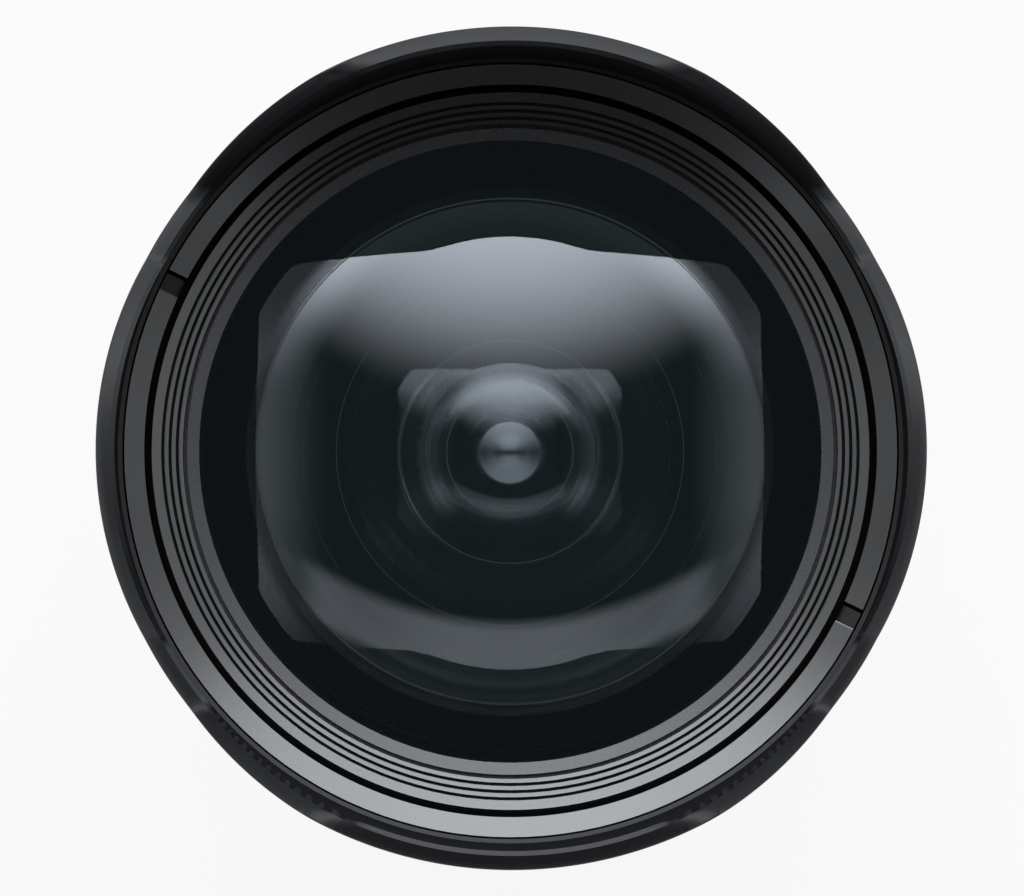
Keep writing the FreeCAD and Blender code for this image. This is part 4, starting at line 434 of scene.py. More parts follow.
NODE_FINISH = {"front_retaining_ring": RETAINER_BLACK, "main_sleeve": BARREL_BLACK}
SLOT_FINISH: dict[str, Finish | CoatedGlass] = {
    "anodised_black": BARREL_BLACK,
    "bezel_black": BEZEL_BLACK,
    "cell_black": CELL_BLACK,
    "coated_glass": INNER_GLASS,
    "hood_plastic": HOOD_BLACK,
    "grip_rubber": GRIP_RUBBER,
    "plated_screws": SCREW_NICKEL,
    "cam_brass": CAM_BRASS,
    "roller_brass": CAM_BRASS,
    # Bright chromium on brass, turned and polished: faint tool rings
    "plated_brass": Finish(
        "chromed_brass", "#C9C8C4", "#B4B2AD", Making.TURNED, 0.2, 0.12, 0.0006, metallic=1.0
    ),
    # Silicone lip: soft dark grey with a low gloss
    "seal_rubber": Finish(
        "silicone_rubber", "#1D1E20", "#161718", Making.MOULDED, 0.55, 0.15, 0.005, ior=1.43
    ),
    # Filled nylon of the inner mouldings: plain satin black
    "moulded_black": Finish(
        "moulded_black_nylon", "#18181A", "#131315", Making.MOULDED, 0.5, 0.3, 0.008, ior=1.53
    ),
    # Hard gold on bronze pins: deep yellow, smooth
    "gold_contacts": Finish(
        "gold_plated_bronze", "#E2B75A", "#CF9F45", Making.TURNED, 0.22, 0.05, 0.001, metallic=1.0
    ),
    # Nylon flock on the rear baffle: a short pile that swallows light
    "flocked_black": Finish(
        "nylon_flock", "#0B0B0C", "#101011", Making.FLOCKED, 0.95, 0.12, 0.05, sheen=0.3, spread=0.02
    ),
    # Clear-anodised aluminium tubes: silver grey with tool rings
    "tube_aluminium": Finish(
        "anodised_clear_aluminium", "#8E9094", "#7D7F83", Making.TURNED, 0.35, 0.15, 0.002, metallic=1.0
    ),
    # Ground steel rods: bright, with fine lengthwise lines
    "ground_steel": Finish(
        "ground_steel", "#AEB0B2", "#9C9EA0", Making.GROUND, 0.18, 0.05, 0.001, metallic=1.0
    ),
    # Deep-drawn steel cans of the motors: a duller grey with drawing lines
    "motor_steel": Finish(
        "drawn_steel_can", "#8F9092", "#7E7F81", Making.GROUND, 0.32, 0.08, 0.001, metallic=1.0
    ),
    # Solder mask over glass fibre: green and glossy, with a slight weave
    "board_green": Finish(
        "solder_masked_fibreglass", "#1E5A35", "#184A2C", Making.PRINTED, 0.35, 1.2, 0.02, ior=1.55
    ),
    # Polyimide film: amber and shiny
    "cable_amber": Finish("polyimide_film", "#B0702A", "#9C6022", Making.PRINTED, 0.25, 0.8, 0.01, ior=1.7),
    # Acetal switch and button: smoother than the hood, a little greyer
    "switch_plastic": Finish("moulded_acetal", "#202022", "#19191B", Making.MOULDED, 0.38, 0.25, 0.006),
    # Spring steel, chemically blackened: thin blades with a dry graphite gloss
    "blade_steel": Finish(
        "blackened_spring_steel", "#17181A", "#1F2022", Making.GROUND, 0.4, 0.1, 0.001, ior=1.8
    ),
}


def softened(outline: Sequence[tuple[float, float]], breaks: Sequence[float], steps: int) -> np.ndarray:
    """Closed outline with its corners broken by small curves.

    Each corner P becomes the quadratic curve from P + t a to P + t b with P as its control point,
    where a and b point to the neighbours and t is the break, at most BREAK_SHARE of either edge.

    Args:
        outline: corner points in order.
        breaks: length of each corner's break.
        steps: points per corner.

    Returns:
        The points of the softened outline.
    """
    corner = np.array(outline, float)
    before = np.roll(corner, 1, axis=0) - corner
    after = np.roll(corner, -1, axis=0) - corner
    before_length, after_length = (np.linalg.norm(way, axis=1)[:, None] for way in (before, after))
    reach = np.minimum(np.array(breaks)[:, None], BREAK_SHARE * np.minimum(before_length, after_length))
    start = corner + reach * before / before_length
    end = corner + reach * after / after_length
    s = np.linspace(0, 1, steps)[None, :, None]
    curve = (1 - s) ** 2 * start[:, None] + 2 * s * (1 - s) * corner[:, None] + s**2 * end[:, None]
    return curve.reshape(-1, 2)


def around(radius: np.ndarray, angle: np.ndarray, height: np.ndarray) -> np.ndarray:
    """Points at a radius, an angle in radians and a height about the optical axis, as one array."""
    return np.stack([radius * np.cos(angle), radius * np.sin(angle), height + 0 * angle], axis=-1)


def full_turn(count: int) -> np.ndarray:
    """Evenly spaced angles of one turn in radians."""
    return np.linspace(0, 2 * math.pi, count, endpoint=False)


def in_scene(name: str, data: ID) -> Object:
    """Makes an object and puts it into the scene at the origin.

    Args:
        name: name of the object.
        data: its mesh, curve or camera.

    Returns:
        The object.
    """
    piece = bpy.data.objects.new(name, data)
    bpy.context.scene.collection.objects.link(piece)
    return piece


def plain_mesh(name: str, points: np.ndarray, faces: list[Sequence[int]]) -> Mesh:
    """Makes a mesh.

    Args:
        name: name of the mesh.
        points: points in millimetres.
        faces: point numbers of each face.

    Returns:
        The mesh, in metres.
    """
    mesh = bpy.data.meshes.new(name)
    mesh.from_pydata((points.reshape(-1, 3) * MM).tolist(), [], faces)
    return mesh


def face_centres(mesh: Mesh) -> np.ndarray:
    """Finds the middle of each face.

    Args:
        mesh: the mesh.

    Returns:
        Rows of x, y and z in millimetres.
    """
    middle = np.zeros(len(mesh.polygons) * 3)
    mesh.polygons.foreach_get("center", middle)
    return (middle.reshape(-1, 3) / MM).T


def grid_piece(
    name: str,
    points: np.ndarray,
    wrap: tuple[bool, bool] = (True, True),
    merge_mm: float = 0.002,
    smooth: float = SMOOTH_ANGLE,
) -> Object:
    """Makes an object of grids of points, with doubles merged and faces turned outwards.

    Args:
        name: name of the piece.
        points: points in millimetres, by row and column, and by grid before that where it has several.
        wrap: whether the last row joins the first, and the last column the first.
        merge_mm: distance under which points are one.
        smooth: angle in radians under which an edge is shaded smooth.

    Returns:
        The object.
    """
    rows, columns = points.shape[-3:-1]
    i = np.arange(rows if wrap[0] else rows - 1)[:, None]
    j = np.arange(columns if wrap[1] else columns - 1)[None, :]
    i2, j2 = (i + 1) % rows, (j + 1) % columns
    corners = [i * columns + j, i * columns + j2, i2 * columns + j2, i2 * columns + j]
    quads = np.stack(np.broadcast_arrays(*corners), axis=-1).reshape(-1, 4)
    first = np.arange(0, points.size // 3, rows * columns)
    mesh = plain_mesh(name, points, (first[:, None, None] + quads).reshape(-1, 4).tolist())
    work = bmesh.new()
    work.from_mesh(mesh)
    bmesh.ops.remove_doubles(work, verts=work.verts, dist=merge_mm * MM)
    bmesh.ops.dissolve_degenerate(work, edges=work.edges, dist=1e-7)
    bmesh.ops.recalc_face_normals(work, faces=work.faces)
    work.to_mesh(mesh)
    work.free()
    mesh.polygons.foreach_set("use_smooth", np.ones(len(mesh.polygons), bool))
    mesh.set_sharp_from_angle(angle=smooth)
    return in_scene(name, mesh)


def turned(outline: np.ndarray, columns: int) -> np.ndarray:
    """Points of an outline of radius and height, each of them run once round the axis."""
    return around(outline[None, :, 0], full_turn(columns)[:, None], outline[None, :, 1])


def dress(
    piece: Object,
    finishes: Sequence[Finish | CoatedGlass],
    body: str,
    replaced: Sequence[str] = (),
) -> Object:
    """Gives a new piece its finishes, its body and the CAD nodes it stands for.

    Args:
        piece: the new piece.
        finishes: one for each material number of its faces.
        body: CAD body it moves with.
        replaced: CAD nodes it stands for.

    Returns:
        The piece.
    """
    for finish in finishes:
        piece.data.materials.append(material_of(finish))
    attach(piece, body)
    if replaced:
        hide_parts(*replaced)
    return piece


@dataclass
class CarriedNodes:
    """The CAD nodes that show as they are, with a finish of their own or one by their material slot."""

    def build(self, frame: dict[str, Any]) -> list[Object]:
        """Dresses every CAD node.


        Returns:
            The dressed objects.
        """
        slots = {part["node"]: part["material_slot"] for part in frame["record"]["subparts"]}
        for name, piece in frame["nodes"].items():
            piece.data.materials.clear()
            piece.data.materials.append(material_of(NODE_FINISH.get(name, SLOT_FINISH[slots[name]])))
        return list(frame["nodes"].values())


@dataclass
class PetalHood:
    """Petal hood: collar, ribbed inner wall, four petals and a rim that slopes down outwards.

    The angles are those of the petals' corners, from straight up for the tips and from the side for
    the flanks and the side petals. rim_rows and crest_rows place the rim's rows of points, from the
    outer wall inwards and from the inner crest outwards, and edge_row those next to the wall's ends.
    lower_petal is the sine of the turn under which the ribs run up to the rim, and rib_shape gives
    the depth of the valley, as a share, at shares of the pitch.
    """

    outer: float = 45.85
    bore: float = 43.75
    collar_bore: float = 43.45
    rear_z: float = 107.4
    front_z: float = 123.0
    notch_z: float = 129.0
    side_z: float = 138.5
    tip_z: float = 153.0
    top_tip_angle: float = 26.75
    bottom_tip_angle: float = 29.0
    flank_angle: float = 38.75
    side_angle: float = 27.5
    corner_break: float = 1.6
    arch_break: float = 0.05
    rib_pitch: float = 1.6
    rib_depth: float = 0.3
    rib_shape: tuple[tuple[float, ...], ...] = ((0.0, 0.25, 0.45, 0.75, 1.0), (0.0, 0.0, 1.0, 1.0, 0.0))
    rib_fade: float = 3.0
    lip_width: float = 0.5
    lip_rise: float = 0.17
    lip_height: float = 0.9
    lip_breaks: tuple[float, ...] = (0.05, 0.03, 0.03, 0.25, 0.25)
    edge_row: float = 0.3
    relief: float = 0.2
    relief_length: float = 5.0
    rim_drop: float = 0.8
    rim_round: float = 0.1
    rim_rows: tuple[float, ...] = (0.06, 0.2, 0.9)
    crest_rows: tuple[float, ...] = (0.2, 0.03)
    lower_petal: float = -0.63
    chamfer_width: float = 0.48
    chamfer_depth: float = 0.22
    paint_gap: float = 0.03
    paint_reach: float = 0.1
    columns: int = 1040
    flank_density: float = 3.2
    arch_points: int = 41
    corner_points: int = 7

    def outline(self) -> tuple[np.ndarray, np.ndarray]:
        """Rim height by Y, seen along X: straight tips, slanted flanks, notches and arched sides.

        Returns:
            Growing Y values and the rim's height at each.
        """
        side = self.outer * math.sin(math.radians(self.side_angle))
        flank = self.outer * math.sin(math.radians(self.flank_angle))
        top = self.outer * math.cos(math.radians(self.top_tip_angle))
        bottom = self.outer * math.cos(math.radians(self.bottom_tip_angle))
        rise = self.side_z - self.notch_z
        arch_radius = (side**2 + rise**2) / (2 * rise)
        arch_y = np.linspace(-side, side, self.arch_points)
        arch_z = self.side_z - arch_radius + np.sqrt(arch_radius**2 - arch_y**2)
        far = 2 * self.outer
        low = [(-far, self.tip_z), (-bottom, self.tip_z), (-flank, self.notch_z)]
        high = [(flank, self.notch_z), (top, self.tip_z), (far, self.tip_z)]
        path = low + list(zip(arch_y, arch_z)) + high
        breaks = np.full(len(path), self.arch_break)
        breaks[[1, 2, 3, -4, -3, -2]] = self.corner_break
        soft = softened(path, breaks, self.corner_points)
        soft = soft[(soft[:, 1] > self.notch_z - 1) & (soft[:, 1] < self.tip_z + 1)]
        order = np.argsort(soft[:, 0], kind="stable")
        return soft[order, 0], soft[order, 1]

    def angles(self) -> np.ndarray:
        """Columns round the axis: fine on the slanted flanks, coarse elsewhere.

        Returns:
            Growing angles in radians.
        """
        turn = np.linspace(0, 2 * math.pi, 721)
        y = np.abs(self.outer * np.sin(turn))
        low = self.outer * math.sin(math.radians(self.side_angle)) - 1
        high = self.outer * math.cos(math.radians(self.top_tip_angle)) + 1
        fine = np.where((y > low) & (y < high), self.flank_density, 1.0)
        length = np.concatenate([[0], np.cumsum((fine[1:] + fine[:-1]) / 2)])
        return np.interp(np.linspace(0, length[-1], self.columns, endpoint=False), length, turn)

    def inner_radius(self, height: np.ndarray, depth: np.ndarray, turn: np.ndarray) -> np.ndarray:
        """Radius of the ribbed wall: crests on the bore, valleys cut into the wall.

        The valleys fade out under the rim, but not on the lower petal, and the wall gets a little
        wider towards the collar, where the lip shows.

        Args:
            height: heights of the points.
            depth: how far each lies under the rim.
            turn: angle of each column.

        Returns:
            The radius of each point.
        """
        share = np.mod(self.tip_z - height, self.rib_pitch) / self.rib_pitch
        valley = np.interp(share, *self.rib_shape)
        valley = valley * np.maximum(np.clip(depth / self.rib_fade, 0, 1), np.sin(turn) < self.lower_petal)
        low = np.clip((self.front_z + self.relief_length - height) / self.relief_length, 0, 1)
        return self.bore + self.rib_depth * valley + self.relief * low

    def build(self) -> Object:
        """Builds the hood as columns round the axis, each one closed section of the wall.

        A section runs up the outside, over the rim, whose height depends on Y alone, down the
        inner wall with its ribs cut off at the rim, and back under the collar.

        Returns:
            The hood.
        """
        rim_y, rim_z = self.outline()
        turn = self.angles()[:, None]

        def rim(radius: float | np.ndarray) -> np.ndarray:
            """Height of the unbroken rim at a radius, by its Y."""
            return np.interp(radius * np.sin(turn), rim_y, rim_z)

        def section(*parts: float | np.ndarray) -> np.ndarray:
            """Sets parts of a section side by side, each spread over all columns."""
            return np.concatenate([part * np.ones((len(turn), 1)) for part in parts], axis=1)

        crest = self.bore + self.chamfer_width
        rim_r = [self.outer - row for row in self.rim_rows]
        slope_r = np.array(rim_r + [crest + row for row in self.crest_rows])
        slope_z = rim(slope_r) - self.rim_drop * (slope_r - crest) / (self.outer - crest)
        slope_z[:, 0] -= self.rim_round
        edge_z = rim(self.outer) - self.rim_drop - self.edge_row
        cut = rim(self.bore) - self.chamfer_depth
        wall_z = np.arange(self.tip_z, self.front_z + 1.0, -self.rib_pitch / 4)
        wall_z = np.minimum(section(cut, wall_z), cut)
        lip_radius = self.collar_bore + self.lip_width
        lip_path = [
            (lip_radius, self.front_z + self.lip_height),
            (lip_radius, self.front_z + self.lip_rise),
            (self.collar_bore, self.front_z),
            (self.collar_bore, self.rear_z),
            (self.outer, self.rear_z),
        ]
        lip = softened(lip_path, self.lip_breaks, 3)[3:]
        wall_r = self.inner_radius(wall_z, cut - wall_z, turn)
        radius = section(self.outer, self.outer, self.outer, slope_r, wall_r, lip[:, 0])
        height = section(self.rear_z + self.edge_row, self.front_z, edge_z, slope_z, wall_z, lip[:, 1])
        hood = grid_piece("hood_shell", around(radius, turn, height), merge_mm=0.004)
        self._number(hood.data, rim_y, rim_z)
        return dress(hood, [HOOD_BLACK, HOOD_PAINT], "hood", ["lens_hood"])

    def _number(self, mesh: Mesh, rim_y: np.ndarray, rim_z: np.ndarray) -> None:
        """Numbers the ribbed inner wall 1, for its paint, and all else 0.

        Args:
            mesh: the hood's mesh.
            rim_y: growing Y values.
            rim_z: the rim's height at each.
        """
        x, y, z = face_centres(mesh)
        low = z < np.interp(y, rim_y, rim_z) - self.chamfer_depth - self.paint_gap
        inside = np.hypot(x, y) < self.bore + self.chamfer_width + self.paint_reach
        wall = inside & (z > self.front_z + 2 * self.lip_rise) & low
        mesh.polygons.foreach_set("material_index", wall.astype(np.int32))


@dataclass
class GlassElement:
    """Lens element with two ground surfaces and a painted edge.

    Each surface is its vertex height, its radius, which is plus where it bulges forward, and the
    radius of its clear part. The bright zone is the middle of the front surface and the rear zone
    that of the rear one; their brighter mirror tints, and for some a painted glow, paint what they
    mirror brighter than the surface round them. A land is a ring on the front surface, by its radius
    and its width, whose painted glow draws a thin pale circle. A face belongs to a surface where it
    lies near it.
    """

    name: str
    node: str
    rim: float
    front: tuple[float, float, float]
    rear: tuple[float, float, float]
    bright_zone: float = 0.0
    rear_zone: float = 0.0
    lands: tuple[tuple[float, float], ...] = ()
    bright: CoatedGlass = FRONT_GLASS
    outer: CoatedGlass = INNER_GLASS
    clear: CoatedGlass = INNER_GLASS
    rings: int = 56
    columns: int = 192
    near: float = 0.05

    @staticmethod
    def height(surface: tuple[float, float, float], distance: np.ndarray) -> np.ndarray:
        """Height of a surface at a distance from the axis: its vertex less or plus the sagitta.

        Args:
            surface: vertex height, radius and clear radius.
            distance: distances from the axis.

        Returns:
            The height at each.
        """
        vertex, radius, _ = surface
        sagitta = abs(radius) - np.sqrt(radius**2 - distance**2)
        return vertex - math.copysign(1.0, radius) * sagitta

    def build(self) -> Object:
        """Builds the element, turned about the axis, and numbers its faces by zone.

        Zone 0 is the bright zone of the front surface, 1 the rest of that surface, 2 the rear
        surface, 3 the lands, which glow, 4 the painted edge and seats, and 5 the middle of the rear surface.

        Returns:
            The element.
        """
        edges = [self.bright_zone] + [radius + shift for radius, width in self.lands for shift in (0, width)]
        front = np.unique(np.concatenate([np.linspace(0, self.front[2], self.rings), edges]))
        rear = np.unique(np.append(np.linspace(self.rear[2], 0, self.rings), self.rear_zone))[::-1]
        front_z = self.height(self.front, front)
        rear_z = self.height(self.rear, rear)
        radius = np.concatenate([front, [self.rim, self.rim], rear])
        z = np.concatenate([front_z, [front_z[-1], rear_z[0]], rear_z])
        points = turned(np.stack([radius, z], axis=-1), self.columns)
        element = grid_piece(self.name, points, (True, False), FINE_MERGE_MM, GLASS_SMOOTH_ANGLE)
        self._number(element.data)
        finishes = [self.bright, self.outer, self.clear, LAND_GLOW_GLASS, EDGE_PAINT, REAR_GLASS]
        return dress(element, finishes, "front_group", [self.node])

    def _number(self, mesh: Mesh) -> None:
        """Gives each face the number of its zone, by its place.

        Args:
            mesh: the element's mesh.
        """
        x, y, z = face_centres(mesh)
        distance = np.hypot(x, y)
        inside = np.minimum(distance, min(self.front[2], self.rear[2]) * 0.999)
        front_gap = z - self.height(self.front, np.minimum(distance, self.front[2]))
        on_front = (np.abs(front_gap) < self.near) & (distance < self.front[2])
        on_rear = (np.abs(z - self.height(self.rear, inside)) < self.near) & (distance < self.rear[2])
        number = np.where(on_front, 1, np.where(on_rear, 2, 4))
        number[on_front & (distance < self.bright_zone)] = 0
        number[on_rear & (distance < self.rear_zone)] = 5
        for radius, width in self.lands:
            number[on_front & (distance > radius) & (distance < radius + width)] = 3
        mesh.polygons.foreach_set("material_index", number.astype(np.int32))


FRONT_GROUP_GLASS = (
    GlassElement(
        "front_glass", "front_element", 36.36, (118.8, 107.0, 35.36), (116.2, 41.5, 28.7), bright_zone=28.68,
        rear_zone=27.25, lands=((28.45, 0.15),), outer=RIM_GLASS, clear=DEEP_GLASS,
    ),
    GlassElement(
        "second_glass", "element_2", 26.0, (108.5, 60.0, 25.8), (106.5, 24.0, 19.7), bright_zone=21.4,
        lands=((13.6, 0.12), (21.4, 0.08)), bright=INNER_GLASS, outer=DEEP_GLASS, clear=DEEP_GLASS,
    ),
    GlassElement(
        "third_glass", "element_3", 18.6, (94.0, -100.0, 18.4), (92.4, 46.0, 16.2),
        lands=((10.4, 0.2),), outer=DEEP_GLASS, clear=DEEP_GLASS,
    ),
    GlassElement(
        "fourth_glass", "element_4", 16.6, (91.7, 52.0, 15.4), (86.7, -90.0, 15.4), bright_zone=5.45,
        lands=((5.5, 0.25),), bright=PUPIL_GLASS, outer=DEEP_GLASS, clear=DEEP_GLASS,
    ),
)


@dataclass
class FilterThread:
    """Fine thread ridge on the bezel's bore. Its foot stands a little inside the wall.

    sides are the places of the ridge's two foot and two crest edges, as shares of the pitch.
    """

    bore: float = 40.62
    crest: float = 40.28
    foot: float = 0.06
    low_z: float = 119.35
    pitch: float = 0.75
    turns: float = 3.6
    turn_columns: int = 240
    fade_turn: float = 0.35
    least_rise: float = 0.02
    sides: tuple[float, ...] = (-0.33, -0.05, 0.05, 0.33)

    def build(self) -> Object:
        """Builds the ridge as a helix: the height grows by one pitch a turn, and the ends fade out.

        Returns:
            The ridge.
        """
        count = int(self.turns * self.turn_columns)
        turn = np.linspace(0, self.turns * 2 * math.pi, count)[:, None]
        fade = np.clip(np.minimum(turn, turn[-1] - turn) / self.fade_turn, self.least_rise, 1)
        side = np.array([self.sides]) * self.pitch
        rise = np.array([[0.0, 1.0, 1.0, 0.0]])
        radius = self.bore + self.foot * (1 - rise) - (self.bore - self.crest) * rise * fade
        height = self.low_z + self.pitch * turn / (2 * math.pi) + side
        thread = grid_piece("filter_thread", around(radius, turn, height), (False, True), FINE_MERGE_MM)
        # Flat black: painted shade in the thread
        return dress(thread, [SHADE_BLACK], "barrel")


@dataclass
class ThreadMouth:
    """Lead-in over the first thread: a thin flat black ring on the bezel's inner ledge, as painted shade."""

    outer: float = 41.02
    inner: float = 40.5
    top_z: float = 122.33
    low_z: float = 122.1
    columns: int = 360

    def build(self) -> Object:
        """Builds the ring as a small rectangle turned round the axis.

        Returns:
            The ring.
        """
        radius = [self.outer, self.outer, self.inner, self.inner]
        outline = np.stack([radius, [self.low_z, self.top_z, self.top_z, self.low_z]], axis=-1)
        mouth = grid_piece("thread_mouth", turned(outline, self.columns))
        return dress(mouth, [SHADE_BLACK], "barrel")


@dataclass
class SpannerSlots:
    """Lining of the two spanner slots: a dull floor, a drafted upper wall and a broken lower edge.

    The slots run from start to end radius, and their floor is foot_z high at foot_radius. The lining
    is a film thick, stands sunk into the metal and ends a gap under the edge.
    """

    angles: tuple[float, float] = (153.7, 334.0)
    half: float = 1.25
    depth: float = 0.6
    start: float = 40.7
    end: float = 43.2
    foot_radius: float = 41.0
    foot_z: float = 121.7
    slope: float = 0.3125
    draft: float = 0.45
    edge: float = 0.13
    edge_drop: float = 0.05
    film: float = 0.03
    sunk: float = 0.02
    gap: float = 0.01

    def build(self) -> Object:
        """Builds each lining as one section across the slot, moved along it and up with its floor.

        Returns:
            Both linings as one piece.
        """
        section = np.array(
            [
                (-self.half, self.depth - self.gap),
                (-self.half + self.edge, self.depth - self.edge_drop),
                (-self.half + self.edge + self.gap, self.film),
                (self.half - self.draft, self.film),
                (self.half, self.depth - self.film),
                (self.half, -self.sunk),
                (-self.half, -self.sunk),
            ]
        )
        # The walls and hidden faces take flat black, painted shade in the slots; the floor and the broken
        # edge keep their own finishes
        number = np.tile(np.array([0, 2, 1, 2, 2, 2, 2], np.int32), len(self.angles))
        reach = np.array([self.start, self.end])[:, None]
        height = self.foot_z + self.slope * (reach - self.foot_radius) + section[None, :, 1]
        points = []
        for turn in np.radians(self.angles):
            along = np.array([math.cos(turn), math.sin(turn)])
            upper = np.array([-math.sin(turn), math.cos(turn)]) * math.copysign(1.0, math.cos(turn))
            flat = reach[:, :, None] * along + section[None, :, :1] * upper
            points.append(np.concatenate([flat, height[:, :, None]], axis=-1))
        lining = grid_piece("spanner_slot_linings", np.stack(points), (False, True), FINE_MERGE_MM)
        lining.data.polygons.foreach_set("material_index", number)
        return dress(lining, [BEZEL_BLACK, SLOT_BLACK, SHADE_BLACK], "barrel")


@dataclass
class RibbedGrip:
    """Rubber sleeve with rounded lengthwise ribs between two plain bands.

    A rib has as many columns as steps, rings of grooves part it, and the sleeve reaches a fit into
    the ring that it sits on. Each shape gives shares of the rib's height: rib_shape at shares of a
    rib's turn, end_shape by the distance from the band, and groove_shape from a groove's middle.
    """

    name: str
    node: str
    body: str
    bore: float
    wall: float
    rib: float
    count: int
    bottom: float
    top: float
    band: float = 0.9
    rings: int = 0
    steps: int = 10
    edge_break: float = 0.12
    fit: float = 0.01
    rib_shape: tuple[tuple[float, ...], ...] = (
        (0, 0.08, 0.2, 0.3, 0.62, 0.72, 0.84, 1), (0, 0, 0.75, 1, 1, 0.75, 0, 0),
    )
    end_shape: tuple[tuple[float, ...], ...] = ((0.0, 0.1, 0.35, 0.6), (0, 0.25, 0.85, 1.0))
    groove_shape: tuple[tuple[float, ...], ...] = (
        (-0.5, -0.3, -0.12, 0.12, 0.3, 0.5), (1.0, 0.8, 0.25, 0.25, 0.8, 1.0),
    )

    def build(self) -> Object:
        """Builds the sleeve: the outer radius is the wall plus the rib, times a share of the turn
        and a share of the length.

        Returns:
            The sleeve.
        """
        length = self.top - self.bottom
        share = np.arange(self.count * self.steps) / self.steps % 1
        across = np.interp(share, *self.rib_shape)
        turn = (np.arange(self.count * self.steps) / (self.count * self.steps) * 2 * math.pi)[:, None]
        shifts, shares = self.end_shape
        ends = np.array([0.0, self.edge_break, *(self.band + shift for shift in shifts)])
        along = np.concatenate([ends, [length / 2], (length - ends)[::-1]])
        rise = [0, 0, *shares]
        lengthwise = np.array([*rise, 1.0, *rise[::-1]])
        if self.rings:
            along, lengthwise = self._ringed(along, lengthwise)
        base = np.full(len(along), self.bore + self.wall)
        base[[0, -1]] -= self.edge_break
        radius = base[None, :] + self.rib * across[:, None] * lengthwise[None, :]
        radius = np.concatenate([radius, np.full((len(turn), 2), self.bore - self.fit)], axis=1)
        height = self.bottom + np.concatenate([along, [length, 0.0]])[None, :]
        grip = grid_piece(self.name, around(radius, turn, height))
        return dress(grip, [GRIP_RUBBER], self.body, [self.node])

    def _ringed(self, along: np.ndarray, lengthwise: np.ndarray) -> tuple[np.ndarray, np.ndarray]:
        """Adds narrow grooves that part the ribs into rows of blocks.

        Args:
            along: heights of the rows of points.
            lengthwise: share of the rib height at each.

        Returns:
            Both with the grooves' points put in.
        """
        places = np.linspace(0, self.top - self.bottom, self.rings + 2)[1:-1]
        offset, dip = np.array(self.groove_shape)
        along = np.concatenate([along, (places[:, None] + offset[None, :]).ravel()])
        lengthwise = np.concatenate([lengthwise, np.tile(dip, len(places))])
        order = np.argsort(along, kind="stable")
        return along[order], lengthwise[order]


@dataclass
class ZoomScale:
    """Focal lengths in millimetres round the zoom ring, each at the angle the ring turns for it."""

    radius: float = 41.2
    middle_z: float = 37.3
    letter: float = 3.915
    thickening: float = 0.03
    relief: float = 0.05
    index_angle: float = 90.0
    turn: float = 75.0
    lengths: tuple[int, ...] = (16, 18, 21, 24, 28, 35)

    def build(self) -> Object:
        """Builds the numbers as flat letters wrapped round the ring: X becomes angle and Y height.

        Returns:
            The numbers as one piece.
        """
        low, high = math.log(self.lengths[0]), math.log(self.lengths[-1])
        points, faces = np.zeros((0, 3)), []
        for length in self.lengths:
            share = (math.log(length) - low) / (high - low)
            found, found_faces = self._letters(str(length), self.index_angle - share * self.turn)
            faces += [[number + len(points) for number in face] for face in found_faces]
            points = np.concatenate([points, found])
        piece = in_scene("zoom_scale_numbers", plain_mesh("zoom_scale_numbers", points, faces))
        return dress(piece, [MARK_WHITE], "zoom")

    def _letters(self, text: str, angle: float) -> tuple[np.ndarray, list[list[int]]]:
        """Makes one number, centred at an angle.

        Args:
            text: the number.
            angle: its place in degrees.

        Returns:
            Its points in millimetres and its faces.
        """
        curve = bpy.data.curves.new("number", "FONT")
        curve.body = text
        curve.size = self.letter
        curve.align_x = "CENTER"
        curve.align_y = "CENTER"
        curve.offset = self.thickening
        curve.extrude = self.relief
        curve.resolution_u = 3
        holder = in_scene("number", curve)
        mesh = bpy.data.meshes.new_from_object(holder.evaluated_get(bpy.context.evaluated_depsgraph_get()))
        flat = np.zeros(len(mesh.vertices) * 3)
        mesh.vertices.foreach_get("co", flat)
        flat = flat.reshape(-1, 3)
        faces = [list(polygon.vertices) for polygon in mesh.polygons]
        bpy.data.objects.remove(holder)
        bpy.data.curves.remove(curve)
        bpy.data.meshes.remove(mesh)
        turn = math.radians(angle) + flat[:, 0] / self.radius
        return around(self.radius + flat[:, 2], turn, self.middle_z + flat[:, 1]), faces


